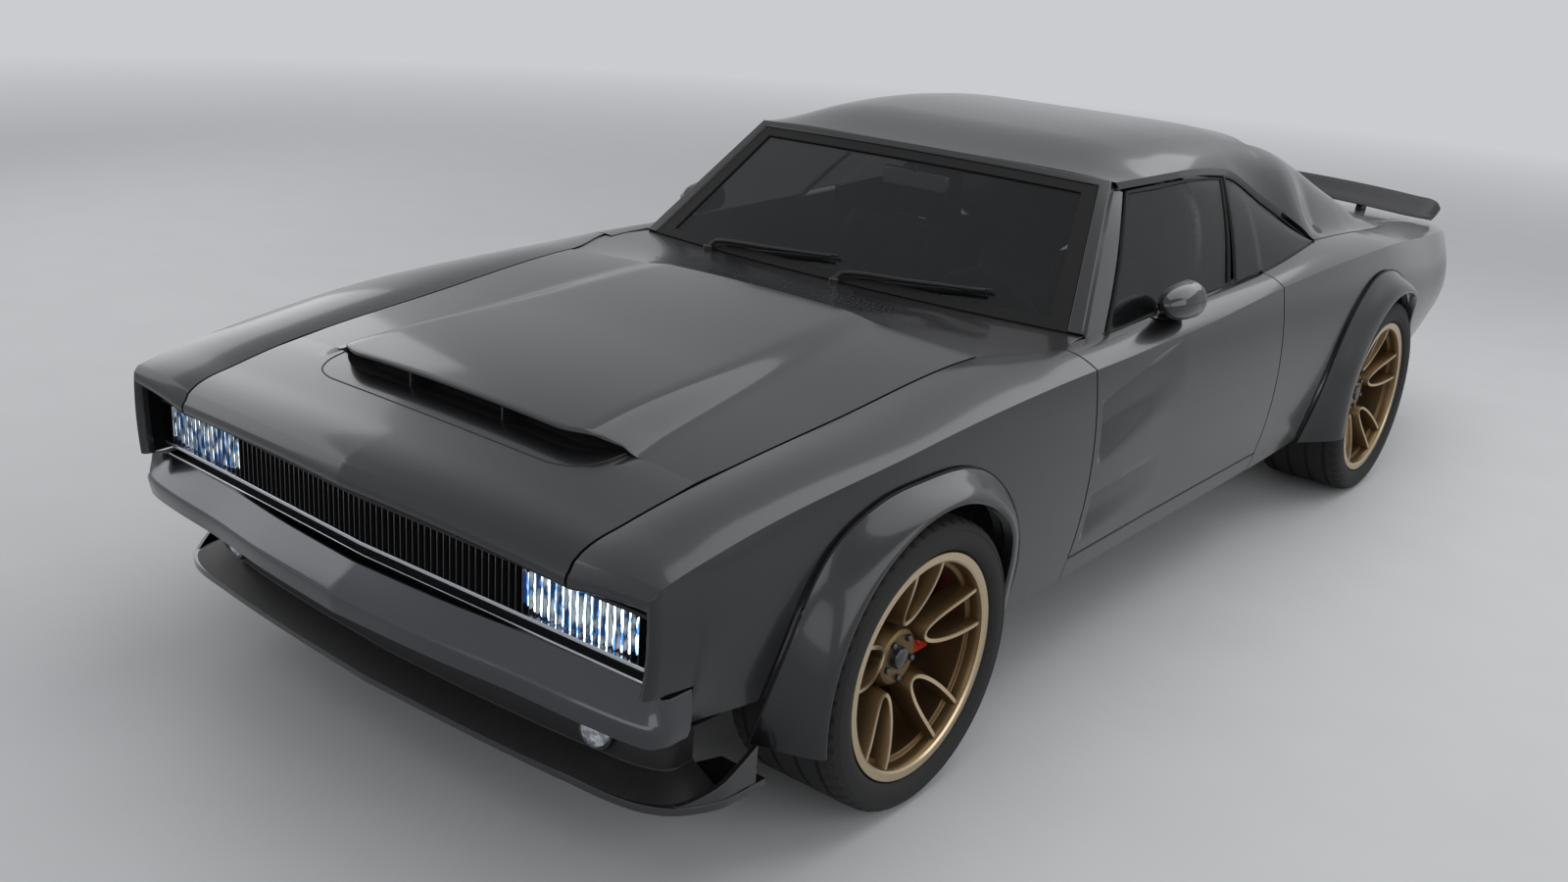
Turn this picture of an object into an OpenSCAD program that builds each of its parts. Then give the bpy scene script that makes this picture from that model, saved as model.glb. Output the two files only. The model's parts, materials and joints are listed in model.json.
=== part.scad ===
// Wide-body two-door fastback muscle car, modelled as an assembly of separate panels and running gear.
// Frame: +Z up, front towards -Y, car's left side at +X, origin on the ground under the middle of the car.

/* [Overall] */
// Overall length, front bumper to rear bumper
body_length = 5186; // [5060:1:5320]
// Body width over the sides, without the wheel flares
body_width = 1950; // [1850:1:2050]
// Height of the roof's crown above the ground
roof_height = 1350; // [1310:1:1390]
// Distance between the axles
wheelbase = 3023; // [2950:1:3100]
// Front bumper's leading edge to the front axle
front_overhang = 843; // [820:1:880]

/* [Wheels] */
// Outer diameter of a front tyre
front_tyre_d = 690; // [670:1:705]
// Section width of a front tyre
front_tyre_w = 305; // [285:1:315]
// Outer diameter of a rear tyre
rear_tyre_d = 722; // [700:1:735]
// Section width of a rear tyre
rear_tyre_w = 315; // [295:1:325]
// Diameter of the front rims over their bead seats
front_rim_d = 508; // [482:1:520]
// Diameter of the rear rims over their bead seats
rear_rim_d = 533; // [508:1:545]
// Distance between the middles of the front tyres
front_track = 1732; // [1700:1:1744]
// Distance between the middles of the rear tyres
rear_track = 1700; // [1670:1:1716]
// Number of spokes in each wheel, each one split in two
spoke_count = 5; // [4:1:6]
// Radius of the spindle that carries a wheel
spindle_r = 30; // [26:0.5:32]
// Radius of the pins that the front uprights turn on
kingpin_r = 12; // [10:0.5:14]
// Distance from the middle of a front tyre in to its kingpin
kingpin_offset = 96; // [88:1:104]
// Radius of the tow eyes' holes
tow_eye_r = 15; // [12:0.5:17]
// Radius of the brake discs
disc_r = 190; // [170:1:200]

/* [Panels] */
// Thickness of the outer panels with their flanges
sheet = 22; // [16:1:26]
// Thickness of a door, skin to trim
door_depth = 110; // [90:1:125]
// Length of a door along the car
door_length = 1250; // [1200:1:1290]
// Gap round the doors, the bonnet and the boot lid
shut_gap = 6; // [5:0.5:9]
// Gap between fixed panels that are fastened to each other
seam = 0.3; // [0.2:0.05:0.6]
// Thickness of the glass
glass_t = 6; // [4:0.5:8]
// Front axle to the front edge of the door
door_setback = 796; // [770:1:820]
// Half the width of the boot lid
lid_half = 640; // [600:1:645]

/* [Flares and aero] */
// Radius of the front wheel openings at the flare's lip
front_arch_r = 388; // [378:1:396]
// Radius of the rear wheel openings at the flare's lip
rear_arch_r = 402; // [392:1:410]
// How far the flares' lips stand out past the body sides
flare_out = 62; // [45:1:80]
// Height of the splitter's underside above the ground
splitter_z = 200; // [170:1:210]
// Thickness of the splitter blade
splitter_t = 18; // [12:1:24]
// Height of the bonnet's bulge at its scoop
bulge_h = 48; // [36:1:60]
// Half the width of the bonnet's bulge at its scoop
bulge_half = 480; // [430:1:520]
// Number of upright bars in the grille
grille_bars = 44; // [30:1:60]

/* [Hidden] */
$fn = 96;
half_w = body_width / 2;
front_y = -body_length / 2;
rear_y = body_length / 2;
axle_f = front_y + front_overhang;
axle_r = axle_f + wheelbase;
nose_y = front_y + 64;
tail_y = rear_y - 52;
bonnet_rear = axle_f + 548;
door_front = axle_f + door_setback;
door_rear = door_front + door_length;
lid_front = axle_r + 200;
front_wheel_z = front_tyre_d / 2;
rear_wheel_z = rear_tyre_d / 2;
front_wheel_x = front_track / 2;
rear_wheel_x = rear_track / 2;
kingpin_x = front_wheel_x - kingpin_offset;
fender_cut = front_arch_r + 34;
quarter_cut = rear_arch_r + 34;
// How far the bumpers' ends reach back, and the fender's lower edge behind the front one
bumper_wrap = 175;
notch_y = front_y + bumper_wrap + shut_gap;
skirt_z = 404;
notch_lean = 3;
fit = 0.06;
eps = 0.01;

paint = [0.20, 0.20, 0.21];
black = [0.05, 0.05, 0.05];
bronze = [0.45, 0.32, 0.16];
steel = [0.45, 0.46, 0.48];
clear_glass = [0.12, 0.13, 0.14, 0.6];

// Curves through a table: column c of the rows, at a place y, with the rows' own places in column 0
function row_at(rows, y, i = 0) = (i >= len(rows) - 2 || y <= rows[i + 1][0]) ? i : row_at(rows, y, i + 1);
function secant(rows, c, i) = (rows[i + 1][c] - rows[i][c]) / (rows[i + 1][0] - rows[i][0]);
function rise(rows, c, i) =
  i == 0 ? secant(rows, c, 0) : i == len(rows) - 1 ? secant(rows, c, i - 1)
  : let (a = secant(rows, c, i - 1), b = secant(rows, c, i))
    a * b <= 0 ? 0 : sign(a) * min(abs(a + b) / 2, 2 * abs(a), 2 * abs(b));
function at(rows, c, y) =
  let (
    i = row_at(rows, y), h = rows[i + 1][0] - rows[i][0], t = (y - rows[i][0]) / h,
    p = rows[i][c], q = rows[i + 1][c], m = rise(rows, c, i) * h, n = rise(rows, c, i + 1) * h
  )
  t < 0 ? p + m * t : t > 1 ? q + n * (t - 1)
  : p * (2 * t ^ 3 - 3 * t ^ 2 + 1) + m * (t ^ 3 - 2 * t ^ 2 + t)
    + q * (3 * t ^ 2 - 2 * t ^ 3) + n * (t ^ 3 - t ^ 2);
function mix(a, b, t) = a + (b - a) * t;
function flat_list(rows) = [for (r = rows) each r];
function smooth(t) = let (s = min(max(t, 0), 1)) s * s * (3 - 2 * s);

// Closed solid between two grids of points, its front and its back, with the same rows and columns
module skin(front, back) {
  n = len(front);
  m = len(front[0]);
  k = n * m;
  quads = [
    each [for (i = [0:n - 2], j = [0:m - 2]) [i * m + j, i * m + j + 1, (i + 1) * m + j + 1, (i + 1) * m + j]],
    each [for (i = [0:n - 2], j = [0:m - 2])
      [k + i * m + j, k + (i + 1) * m + j, k + (i + 1) * m + j + 1, k + i * m + j + 1]],
    each [for (i = [0:n - 2]) [i * m, (i + 1) * m, k + (i + 1) * m, k + i * m]],
    each [for (i = [0:n - 2])
      [i * m + m - 1, k + i * m + m - 1, k + (i + 1) * m + m - 1, (i + 1) * m + m - 1]],
    each [for (j = [0:m - 2]) [j, k + j, k + j + 1, j + 1]],
    each [for (j = [0:m - 2])
      [(n - 1) * m + j, (n - 1) * m + j + 1, k + (n - 1) * m + j + 1, k + (n - 1) * m + j]]
  ];
  polyhedron(
    points = concat(flat_list(front), flat_list(back)),
    faces = [for (q = quads) each [[q[0], q[1], q[2]], [q[0], q[2], q[3]]]], convexity = 8
  );
}

// Round tube of radius r along a list of points
function unit(v) = v / norm(v);
function along(path, i) = unit(path[min(i + 1, len(path) - 1)] - path[max(i - 1, 0)]);
module tube(path, r, sides = 10) {
  rings = [for (i = [0:len(path) - 1])
    let (d = along(path, i), a = unit(cross(d, abs(d[2]) < 0.9 ? [0, 0, 1] : [0, 1, 0])), b = cross(d, a))
      [for (s = [0:sides - 1]) path[i] + r * (cos(360 * s / sides) * a + sin(360 * s / sides) * b)]];
  n = len(path);
  faces = [
    each [for (i = [0:n - 2], s = [0:sides - 1])
      let (t = (s + 1) % sides) each [
        [i * sides + s, i * sides + t, (i + 1) * sides + t],
        [i * sides + s, (i + 1) * sides + t, (i + 1) * sides + s]]],
    [for (s = [sides - 1:-1:0]) s],
    [for (s = [0:sides - 1]) (n - 1) * sides + s]
  ];
  polyhedron(points = flat_list(rings), faces = faces, convexity = 6);
}

module both_sides() {
  children();
  mirror([1, 0, 0]) children();
}

// Body sides. Columns: y, inset and height of the inner top edge, of the crest, of the side and of the sill,
// then how far the top is crowned
body_rows = [
  [nose_y, 303, 706, 80, 732, 73, 610, 85, 512, 5],
  [nose_y + 45, 301, 738, 78, 745, 68, 610, 80, 512, 6],
  [nose_y + 150, 295, 765, 71, 768, 54, 610, 68, 508, 9],
  [axle_f - 464, 285, 797, 61, 796, 38, 600, 60, 430, 12],
  [axle_f, 267, 850, 30, 846, 15, 600, 50, 330, 14],
  [bonnet_rear, 242, 903, 34, 870, 13, 600, 57, 285, 12],
  [door_front, 145, 905, 35, 873, 13, 600, 60, 280, 9],
  [door_front + 172, 126, 906, 38, 872, 14, 600, 61, 280, 9],
  [door_front + 510, 129, 915, 46, 872, 19, 600, 63, 280, 9],
  [door_rear, 129, 938, 43, 906, 13, 600, 60, 285, 9],
  [axle_r - 390, 175, 966, 37, 922, 0, 600, 55, 310, 9],
  [axle_r, 250, 948, 45, 918, 0, 600, 55, 340, 9],
  [axle_r + 190, half_w - lid_half - shut_gap, 926, 58, 908, 4, 600, 60, 355, 9],
  [axle_r + 360, half_w - lid_half - shut_gap, 908, 74, 893, 12, 600, 66, 370, 9],
  [axle_r + 700, half_w - lid_half - shut_gap, 884, 110, 862, 46, 590, 94, 410, 9],
  [tail_y - 165, half_w - lid_half - shut_gap, 854, 155, 832, 104, 580, 124, 508, 9],
  [tail_y, half_w - lid_half - shut_gap, 838, 190, 813, 150, 575, 168, 512, 9]
];
function belt_x(y) = half_w - at(body_rows, 1, y);
function belt_z(y) = at(body_rows, 2, y);
function crest_x(y) = half_w - at(body_rows, 3, y);
function crest_z(y) = at(body_rows, 4, y);
function side_x(y, z) =
  let (
    z0 = crest_z(y), z1 = at(body_rows, 6, y), z2 = at(body_rows, 8, y),
    x0 = crest_x(y), x1 = half_w - at(body_rows, 5, y), x2 = half_w - at(body_rows, 7, y)
  )
  x0 * (z - z1) * (z - z2) / ((z0 - z1) * (z0 - z2)) + x1 * (z - z0) * (z - z2) / ((z1 - z0) * (z1 - z2))
  + x2 * (z - z0) * (z - z1) / ((z2 - z0) * (z2 - z1));
function arch_z(y, wheel_y, wheel_z, r) = abs(y - wheel_y) < r ? wheel_z + sqrt(r ^ 2 - (y - wheel_y) ^ 2) : 0;
function sill_z(y) = at(body_rows, 8, y);
function panel_low(y) = y > notch_y && y < axle_f ? min(sill_z(y), skirt_z) : sill_z(y);
function side_bottom(y) =
  max(panel_low(y), arch_z(y, axle_f, front_wheel_z, fender_cut), arch_z(y, axle_r, rear_wheel_z, quarter_cut));

top_steps = 3;
side_steps = 6;
function top_crown(y) = at(body_rows, 9, y);
function side_profile(y, z_end) = [
  each [for (i = [0:top_steps]) let (t = i / top_steps)
    [mix(belt_x(y), crest_x(y), t), y, mix(belt_z(y), crest_z(y), t) + 4 * top_crown(y) * t * (1 - t)]],
  each [for (i = [1:side_steps]) let (z = mix(crest_z(y), z_end, i / side_steps)) [side_x(y, z), y, z]]
];
// Moves a side panel's points in by its thickness: its top down, its side towards the car's middle
function side_back(profile, depth, top_depth) = [for (i = [0:len(profile) - 1])
  let (t = min(i / top_steps, 1), p = profile[i])
    [p[0] - depth * t, p[1], p[2] - (i <= top_steps ? top_depth : 0)]];
module side_panel(stations) {
  outer = [for (y = stations) side_profile(y, side_bottom(y))];
  skin(outer, [for (p = outer) side_back(p, sheet, sheet)]);
}
function arch_stations(wheel_y, r, step = 22.5) = [for (a = [180:-step:0]) wheel_y + r * cos(a)];

module fender() {
  color(paint) side_panel([
    nose_y, nose_y + 45, notch_y, notch_y + notch_lean, nose_y + 150, axle_f - 520,
    each arch_stations(axle_f, fender_cut),
    axle_f + fender_cut + 14, bonnet_rear, door_front - shut_gap]);
}
// How far the tail's lower edge is tucked forward under its upper edge
tuck = 120;
tuck_top = 830;
tuck_drop = 320;
function tail_tuck(z) = tuck * min(max((tuck_top - z) / tuck_drop, 0), 1) ^ 1.4;
module quarter() {
  stations = [door_rear + shut_gap, axle_r - quarter_cut - 14, each arch_stations(axle_r, quarter_cut),
    axle_r + quarter_cut + 14, pillar_y1, axle_r + 900, tail_y - 165, tail_y];
  outer = [for (y = stations)
    [for (p = side_profile(y, side_bottom(y))) p - [0, y == tail_y ? tail_tuck(p[2]) : 0, 0]]];
  color(paint) skin(outer, [for (p = outer) side_back(p, sheet, sheet)]);
}
function top_z(x, y) =
  let (t = (x - belt_x(y)) / (crest_x(y) - belt_x(y)))
    mix(belt_z(y), crest_z(y), t) + 4 * top_crown(y) * t * (1 - t);

// Flares: a ring of sections round the wheel, from its root on the body side out to the lip over the tyre.
// Columns: angle from the front, distance of the root outside the lip
front_flare_rows = [[-8, 64], [20, 72], [45, 88], [68, 66], [90, 48], [124, 80], [155, 88], [188, 80]];
rear_flare_rows = [[-8, 150], [25, 150], [60, 105], [90, 75], [120, 52], [150, 38], [188, 38]];
flare_start = -8;
flare_parts = 14;
flare_seat = 2.6;
module flare(rows, wheel_y, wheel_z, arch_r, tyre_out, last) {
  lip_x = max(half_w + flare_out, tyre_out + 14);
  sections = [for (i = [0:flare_parts])
    let (
      a = mix(flare_start, last, i / flare_parts),
      root = arch_r + at(rows, 1, a), d = [0, -cos(a), sin(a)], hub = [0, wheel_y, wheel_z],
      far = hub + root * d, near = hub + arch_r * d, far_x = side_x(far[1], far[2]) + flare_seat
    )
    [
      [[far_x, far[1], far[2]], [far_x + 12, far[1], far[2]],
        [mix(far_x + 12, lip_x, 0.8), mix(far[1], near[1], 0.6), mix(far[2], near[2], 0.6)],
        [lip_x, mix(far[1], near[1], 0.9), mix(far[2], near[2], 0.9)], [lip_x - 4, near[1], near[2]]],
      [[far_x + 0.5, mix(far[1], near[1], 0.05), mix(far[2], near[2], 0.05)],
        [far_x + 1, mix(far[1], near[1], 0.2), mix(far[2], near[2], 0.2)],
        [mix(far_x + 2, lip_x - 18, 0.75), mix(far[1], near[1], 0.66), mix(far[2], near[2], 0.66)],
        [lip_x - 26, mix(far[1], near[1], 0.88), mix(far[2], near[2], 0.88)], [lip_x - 30, near[1], near[2]]]
    ]];
  skin([for (s = sections) s[0]], [for (s = sections) s[1]]);
}
module front_flares() {
  color(paint) both_sides()
    flare(front_flare_rows, axle_f, front_wheel_z, front_arch_r, front_wheel_x + front_tyre_w / 2, 188);
}
module rear_flares() {
  color(paint) both_sides()
    flare(rear_flare_rows, axle_r, rear_wheel_z, rear_arch_r, rear_wheel_x + rear_tyre_w / 2, 160);
}

// Upper body. Drops below the roof's crown are drawn for a cabin 450 high over the windows' lower edge
cabin_low = 900;
cabin_drawn = 450;
function down(drop) = roof_height - drop * (roof_height - cabin_low) / cabin_drawn;
// Columns: y, half width and drop of the windows' upper edge
rail_rows = [
  [door_front + 545, 648, 100], [door_front + 940, 652, 100],
  [door_rear + 66, 648, 124], [door_rear + 290, 690, 220],
  [axle_r - 400, 792, 376]
];
function rail_x(y) = at(rail_rows, 1, y);
function rail_z(y) = down(at(rail_rows, 2, y));
// Roof. Columns: y, drop of the middle line
roof_rows = [
  [door_front + 545, 84], [door_front + 826, 17], [door_front + 1136, 0], [door_rear + 186, 10],
  [door_rear + 400, 38]
];
roof_y0 = door_front + 545;
roof_y1 = door_rear + 400;
function crown_z(y) = down(at(roof_rows, 1, y));
// Rear pillars. Columns: y, ridge's half width and drop, inner edge's half width and drop, then the outer
// foot's half width
pillar_rows = [
  [door_rear + 120, 560, 50, 552, 74, 660],
  [door_rear + 340, 570, 62, 562, 86, 705],
  [door_rear + 400, 574, 71, 566, 95, 712],
  [axle_r - 400, 603, 112, 576, 166, half_w - 172],
  [axle_r, 652, 265, 624, 345, half_w - 185],
  [axle_r + 190, 672, 335, 652, 398, half_w - 205],
  [axle_r + 360, 684, 400, 654, 432, half_w - 225],
  [axle_r + 660, 697, 458, 656, 461, half_w - 255]
];
function pillar(c, y) = at(pillar_rows, c, y);
function pillar_down(c, y) = down(at(pillar_rows, c, y));
// The pillar stands on the quarter at its rear end and clears it by a sealed joint ahead of that
function foot_gap(y) = y < pillar_y1 ? 4.5 : 0.6;
function pillar_foot(y) =
  y < axle_r - 400 ? [rail_x(y) + 4, y, rail_z(y) + 4]
  : [pillar(5, y), y, top_z(pillar(5, y), y) + foot_gap(y)];
function pillar_inner_foot(y) =
  y < axle_r - 400 ? [rail_x(y) - 34, y, rail_z(y) + 2]
  : let (x = max(belt_x(y) + 3, pillar(3, y) + 4)) [x, y, top_z(x, y) + foot_gap(y)];
pillar_y0 = door_rear + 120;
pillar_y1 = axle_r + 660;

module c_pillar() {
  stations = [pillar_y0, door_rear + 230, door_rear + 340, roof_y1, axle_r - 401, axle_r - 200, axle_r,
    axle_r + 190, axle_r + 360, axle_r + 520, pillar_y1];
  outer = [for (y = stations)
    let (f = pillar_foot(y), rx = pillar(1, y), rz = pillar_down(2, y))
      [[rx - 8, y, rz], [rx + 8, y, rz - 3], [mix(rx, f[0], 0.42), y, mix(rz, f[2], 0.32)],
        [mix(rx, f[0], 0.76), y, mix(rz, f[2], 0.66)], f]];
  inner = [for (y = stations)
    let (f = pillar_inner_foot(y), ix = pillar(3, y), iz = pillar_down(4, y))
      [[ix, y, iz], [mix(ix, f[0], 0.25), y, mix(iz, f[2], 0.25)], [mix(ix, f[0], 0.5), y, mix(iz, f[2], 0.5)],
        [mix(ix, f[0], 0.75), y, mix(iz, f[2], 0.75)], f]];
  color(paint) skin(outer, inner);
}

function roof_edge(y) =
  y <= pillar_y0 - 12 ? [rail_x(y) + 4, y, rail_z(y) + 6] : [pillar(1, y) - 8 - seam, y, pillar_down(2, y) - 1];
roof_share = [0, 0.4, 0.66, 0.8, 0.9, 0.96, 1];
roof_square = 6;
function roof_line(y, drop) =
  let (e = roof_edge(y), top = crown_z(y)) [
    each [for (i = [len(roof_share) - 1:-1:1])
      let (s = roof_share[i]) [-e[0] * s, y, mix(top, e[2], s ^ roof_square) - drop]],
    each [for (s = roof_share) [e[0] * s, y, mix(top, e[2], s ^ roof_square) - drop]]
  ];
module roof() {
  stations = [roof_y0, roof_y0 + 90, roof_y0 + 190, door_front + 840, door_front + 1136, door_rear + 40,
    pillar_y0 - 12, pillar_y0, door_rear + 230, door_rear + 340, roof_y1];
  color(paint) skin([for (y = stations) roof_line(y, 0)],
    [for (y = stations) [for (p = roof_line(y, sheet)) p + [0, y == roof_y0 ? 27 : 0, 0]]]);
}

// Windscreen surface: u across from -1 to 1, v up from 0 to 1, lift out of the glass
screen_base = [802, door_front + 172, 902];
screen_top = [642, roof_y0 - 4, down(94)];
screen_bow = 58;
screen_lean = atan2(screen_top[1] - screen_base[1], screen_top[2] - screen_base[2]);
function screen(u, v, lift) =
  let (n = [0, -cos(screen_lean), sin(screen_lean)])
    [u * mix(screen_base[0], screen_top[0], v),
      mix(screen_base[1], screen_top[1], v) - screen_bow * (1 - u ^ 2) * (1 - 0.55 * v),
      mix(screen_base[2], screen_top[2], v) + 12 * (1 - u ^ 2) * v] + lift * n;
post_u = 0.93;
header_v = 0.93;
module windshield_frame() {
  steps = 6;
  left = [for (i = [0:steps]) [[-1, i / steps], [-post_u, i / steps * header_v]]];
  top = [for (i = [1:steps - 1]) let (u = mix(-1, 1, i / steps)) [[u, 1], [u * post_u, header_v]]];
  right = [for (i = [steps:-1:0]) [[1, i / steps], [post_u, i / steps * header_v]]];
  path = concat(left, top, right);
  color(paint) skin(
    [for (p = path) [for (q = [1, 0]) screen(p[q][0], p[q][1], 8)]],
    [for (p = path) [for (q = [1, 0]) screen(p[q][0], p[q][1], -34)]]);
}
module windshield() {
  us = [-1, -0.66, -0.33, 0, 0.33, 0.66, 1];
  vs = [0.012, 0.5, 1];
  inset = post_u - 0.001;
  function sheet_of(lift) = [for (v = vs) [for (u = us) screen(u * inset, v * (header_v - 0.001), lift)]];
  color(clear_glass) skin(sheet_of(0), sheet_of(-glass_t));
}

// Cowl between the bonnet and the windscreen
cowl_y0 = bonnet_rear + shut_gap;
function cowl_edge(y) = [belt_x(y) - shut_gap, y, belt_z(y) - 1];
module cowl() {
  shares = [-1, -0.8, -0.4, 0, 0.4, 0.8, 1];
  function line(v, drop) = [for (s = shares)
    let (
      a = [s * (belt_x(bonnet_rear) + 1.8), cowl_y0,
        bonnet_z(s * (belt_x(cowl_y0) - shut_gap), bonnet_rear) - 3],
      b = screen(s, 0, 0) - [0, 0.5, 0.5]
    ) mix(a, b, v) - [0, 0, drop]];
  vs = [0, 0.35, 0.7, 1];
  color(paint) skin([for (v = vs) line(v, 0)], [for (v = vs) line(v, sheet)]);
}

// Bonnet: crowned between the fenders, with a bulge that starts at a scoop
lip_point = 36;
scoop_y = axle_f - 500;
// Extra room beside the bonnet, for its swing
bonnet_swing = 1.2;
function bonnet_half(y) = belt_x(y) - shut_gap - bonnet_swing;
function bonnet_front(x) = nose_y - lip_point * (1 - abs(x) / bonnet_half(nose_y));
function bulge(x, y) =
  let (
    w = mix(bulge_half, bulge_half * 0.8, (y - scoop_y) / (bonnet_rear - scoop_y)),
    h = mix(bulge_h, 10, smooth((y - scoop_y) / (bonnet_rear - 40 - scoop_y)))
  ) y < scoop_y ? 0 : h * (1 - smooth((abs(x) - w + 60) / 90));
function bonnet_crown(y) = mix(20, 27, (y - nose_y) / (bonnet_rear - nose_y));
function bonnet_z(x, y) = belt_z(y) + bonnet_crown(y) * (1 - (x / bonnet_half(y)) ^ 2) + bulge(x, y);
bonnet_shares = [-1, -0.82, -0.72, -0.62, -0.52, -0.26, 0, 0.26, 0.52, 0.62, 0.72, 0.82, 1];
lip_drop = 44;
module hood() {
  rows = [nose_y, nose_y + 45, nose_y + 150, scoop_y - 2, scoop_y, scoop_y + 60, axle_f - 300, axle_f - 150,
    axle_f, axle_f + 160, axle_f + 320, bonnet_rear - 90, bonnet_rear];
  function place(s, y) = let (x = s * bonnet_half(y)) [x, y == nose_y ? bonnet_front(x) : y, bonnet_z(x, y)];
  outer = [
    [for (s = bonnet_shares) place(s, nose_y) + [0, 14, -lip_drop]],
    [for (s = bonnet_shares) place(s, nose_y) + [0, 2, -14]],
    each [for (y = rows) [for (s = bonnet_shares) place(s, y) + (y == nose_y ? [0, 14, 0] : [0, 0, 0])]]
  ];
  inner = [
    [for (s = bonnet_shares) place(s, nose_y) + [0, 34, -lip_drop]],
    [for (s = bonnet_shares) place(s, nose_y) + [0, 34, -sheet - 6]],
    each [for (y = rows)
      [for (s = bonnet_shares) place(s, y) + (y == nose_y ? [0, 40, -sheet] : [0, 0, -sheet])]]
  ];
  color(paint) skin(outer, inner);
}

// Boot lid, the panel ahead of it, and the spoiler on it
function deck_z(x, y) = belt_z(y) + 16 * (1 - (x / lid_half) ^ 2);
deck_shares = [-1, -0.5, 0, 0.5, 1];
module trunk_lid() {
  rows = [lid_front, axle_r + 360, axle_r + 530, axle_r + 700, axle_r + 900, tail_y - 165, tail_y];
  function line(y, drop) = [for (s = deck_shares) [s * lid_half, y, deck_z(s * lid_half, y) - drop]];
  color(paint) skin(
    [each [for (y = rows) line(y, 0)],
      [for (p = line(tail_y, 0)) p + [0, 8, -20]], [for (p = line(tail_y, 0)) p + [0, 2, -70]]],
    [each [for (y = rows) line(y, sheet) + [for (s = deck_shares) [0, y == tail_y ? -20 : 0, 0]]],
      [for (p = line(tail_y, 0)) p + [0, -20, -30]], [for (p = line(tail_y, 0)) p + [0, -20, -70]]]);
}
// Spoiler blade over the tail, on two pedestals. Its ends turn down: share of the half width, drop.
// Columns of its sections: y from the tail, height, share of the ends' drop
spoiler_half = 745;
spoiler_rise = 46;
spoiler_top = [[-150, -18, 0.15], [-60, 8, 0.8], [40, 44, 1]];
spoiler_under = [[-150, -24, 0.15], [-60, -8, 0.8], [40, 30, 1]];
module spoiler() {
  ends = [[0, 0], [0.54, 0], [0.92, -2], [0.975, -12], [1, -34]];
  spread = concat([for (i = [len(ends) - 1:-1:1]) [-ends[i][0], ends[i][1]]], ends);
  function line(pts) = [for (e = spread) [for (p = pts)
    [e[0] * spoiler_half, tail_y + p[0],
      deck_z(min(abs(e[0]) * spoiler_half, lid_half), tail_y - 60) + spoiler_rise + e[1] * p[2] + p[1]
        + 12 * (1 - e[0] ^ 2)]]];
  color(black) union() {
    skin(line(spoiler_top), line(spoiler_under));
    both_sides() translate([430, tail_y - 120, deck_z(430, tail_y - 120) - 0.7]) cube([30, 70, 42]);
  }
}
// Rear window, and the panel from its lower edge down to the boot lid
window_end = lid_front - 86;
function window_z(y, s) =
  pillar_down(4, y) - 4 + mix(34, 16, (y - roof_y1) / (window_end - roof_y1)) * (1 - s ^ 2);
module deck_filler() {
  y1 = lid_front - shut_gap;
  w1 = belt_x(y1) - 2.5;
  function upper(drop) = [for (s = deck_shares)
    [s * (pillar(3, window_end) - 3), window_end, window_z(window_end, s) - drop]];
  function lower(drop) = [for (s = deck_shares) [s * w1, y1, deck_z(s * lid_half, y1) - drop]];
  function bar(y, drop) = [for (x = [520, 560]) [x, y, deck_z(560, y) - sheet - 0.8 - drop]];
  color(paint) {
    skin([upper(0), lower(0)], [upper(sheet), lower(sheet)]);
    both_sides() skin(
      [bar(lid_front - 40, 1.4), bar(lid_front + 12, 0)], [bar(lid_front - 40, 20), bar(lid_front + 12, 20)]);
  }
}
module rear_window() {
  y0 = roof_y1 + 2 * seam;
  y1 = window_end - 2 * seam;
  shares = [-1, -0.66, -0.33, 0, 0.33, 0.66, 1];
  function line(y, drop) = [for (s = shares) [s * (pillar(3, y) - 3), y, window_z(y, s) - drop]];
  rows = [y0, mix(y0, y1, 0.35), mix(y0, y1, 0.7), y1];
  color(clear_glass) skin([for (y = rows) line(y, 0)], [for (y = rows) line(y, glass_t + 2)]);
}

// Side glass: the split between the door's pane and the quarter's leans back
split_base = door_rear - 215;
split_top = door_rear + 30;
glass_low = 0.5;
pane_bow = 10;
module pane(front_low, front_high, rear_low, rear_high, inset_low, gap_high, steps) {
  ts = [0, 0.5, 1];
  function spot(s, t, in) =
    let (
      yl = mix(front_low, rear_low, s), yh = mix(front_high, rear_high, s),
      over_door = inset_low < 0 && yl < door_rear,
      low = [belt_x(yl) - inset_low, yl, belt_z(yl) + (over_door ? 10 : glass_low)],
      high = [rail_x(yh) + 6, yh, rail_z(yh) - gap_high], p = mix(low, high, t)
    ) [p[0] + pane_bow * sin(180 * t) - in, p[1], p[2]];
  skin([for (i = [0:steps]) [for (t = ts) spot(i / steps, t, 0)]],
    [for (i = [0:steps]) [for (t = ts) spot(i / steps, t, glass_t)]]);
}
module door_glass() {
  color(clear_glass) pane(door_front + 236, roof_y0 + 66, split_base, split_top, 10, 26, 5);
}
module quarter_glass() {
  color(clear_glass) both_sides()
    pane(split_base + 16, split_top + 16, axle_r - 425, axle_r - 430, -3, 18, 5);
}

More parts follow.
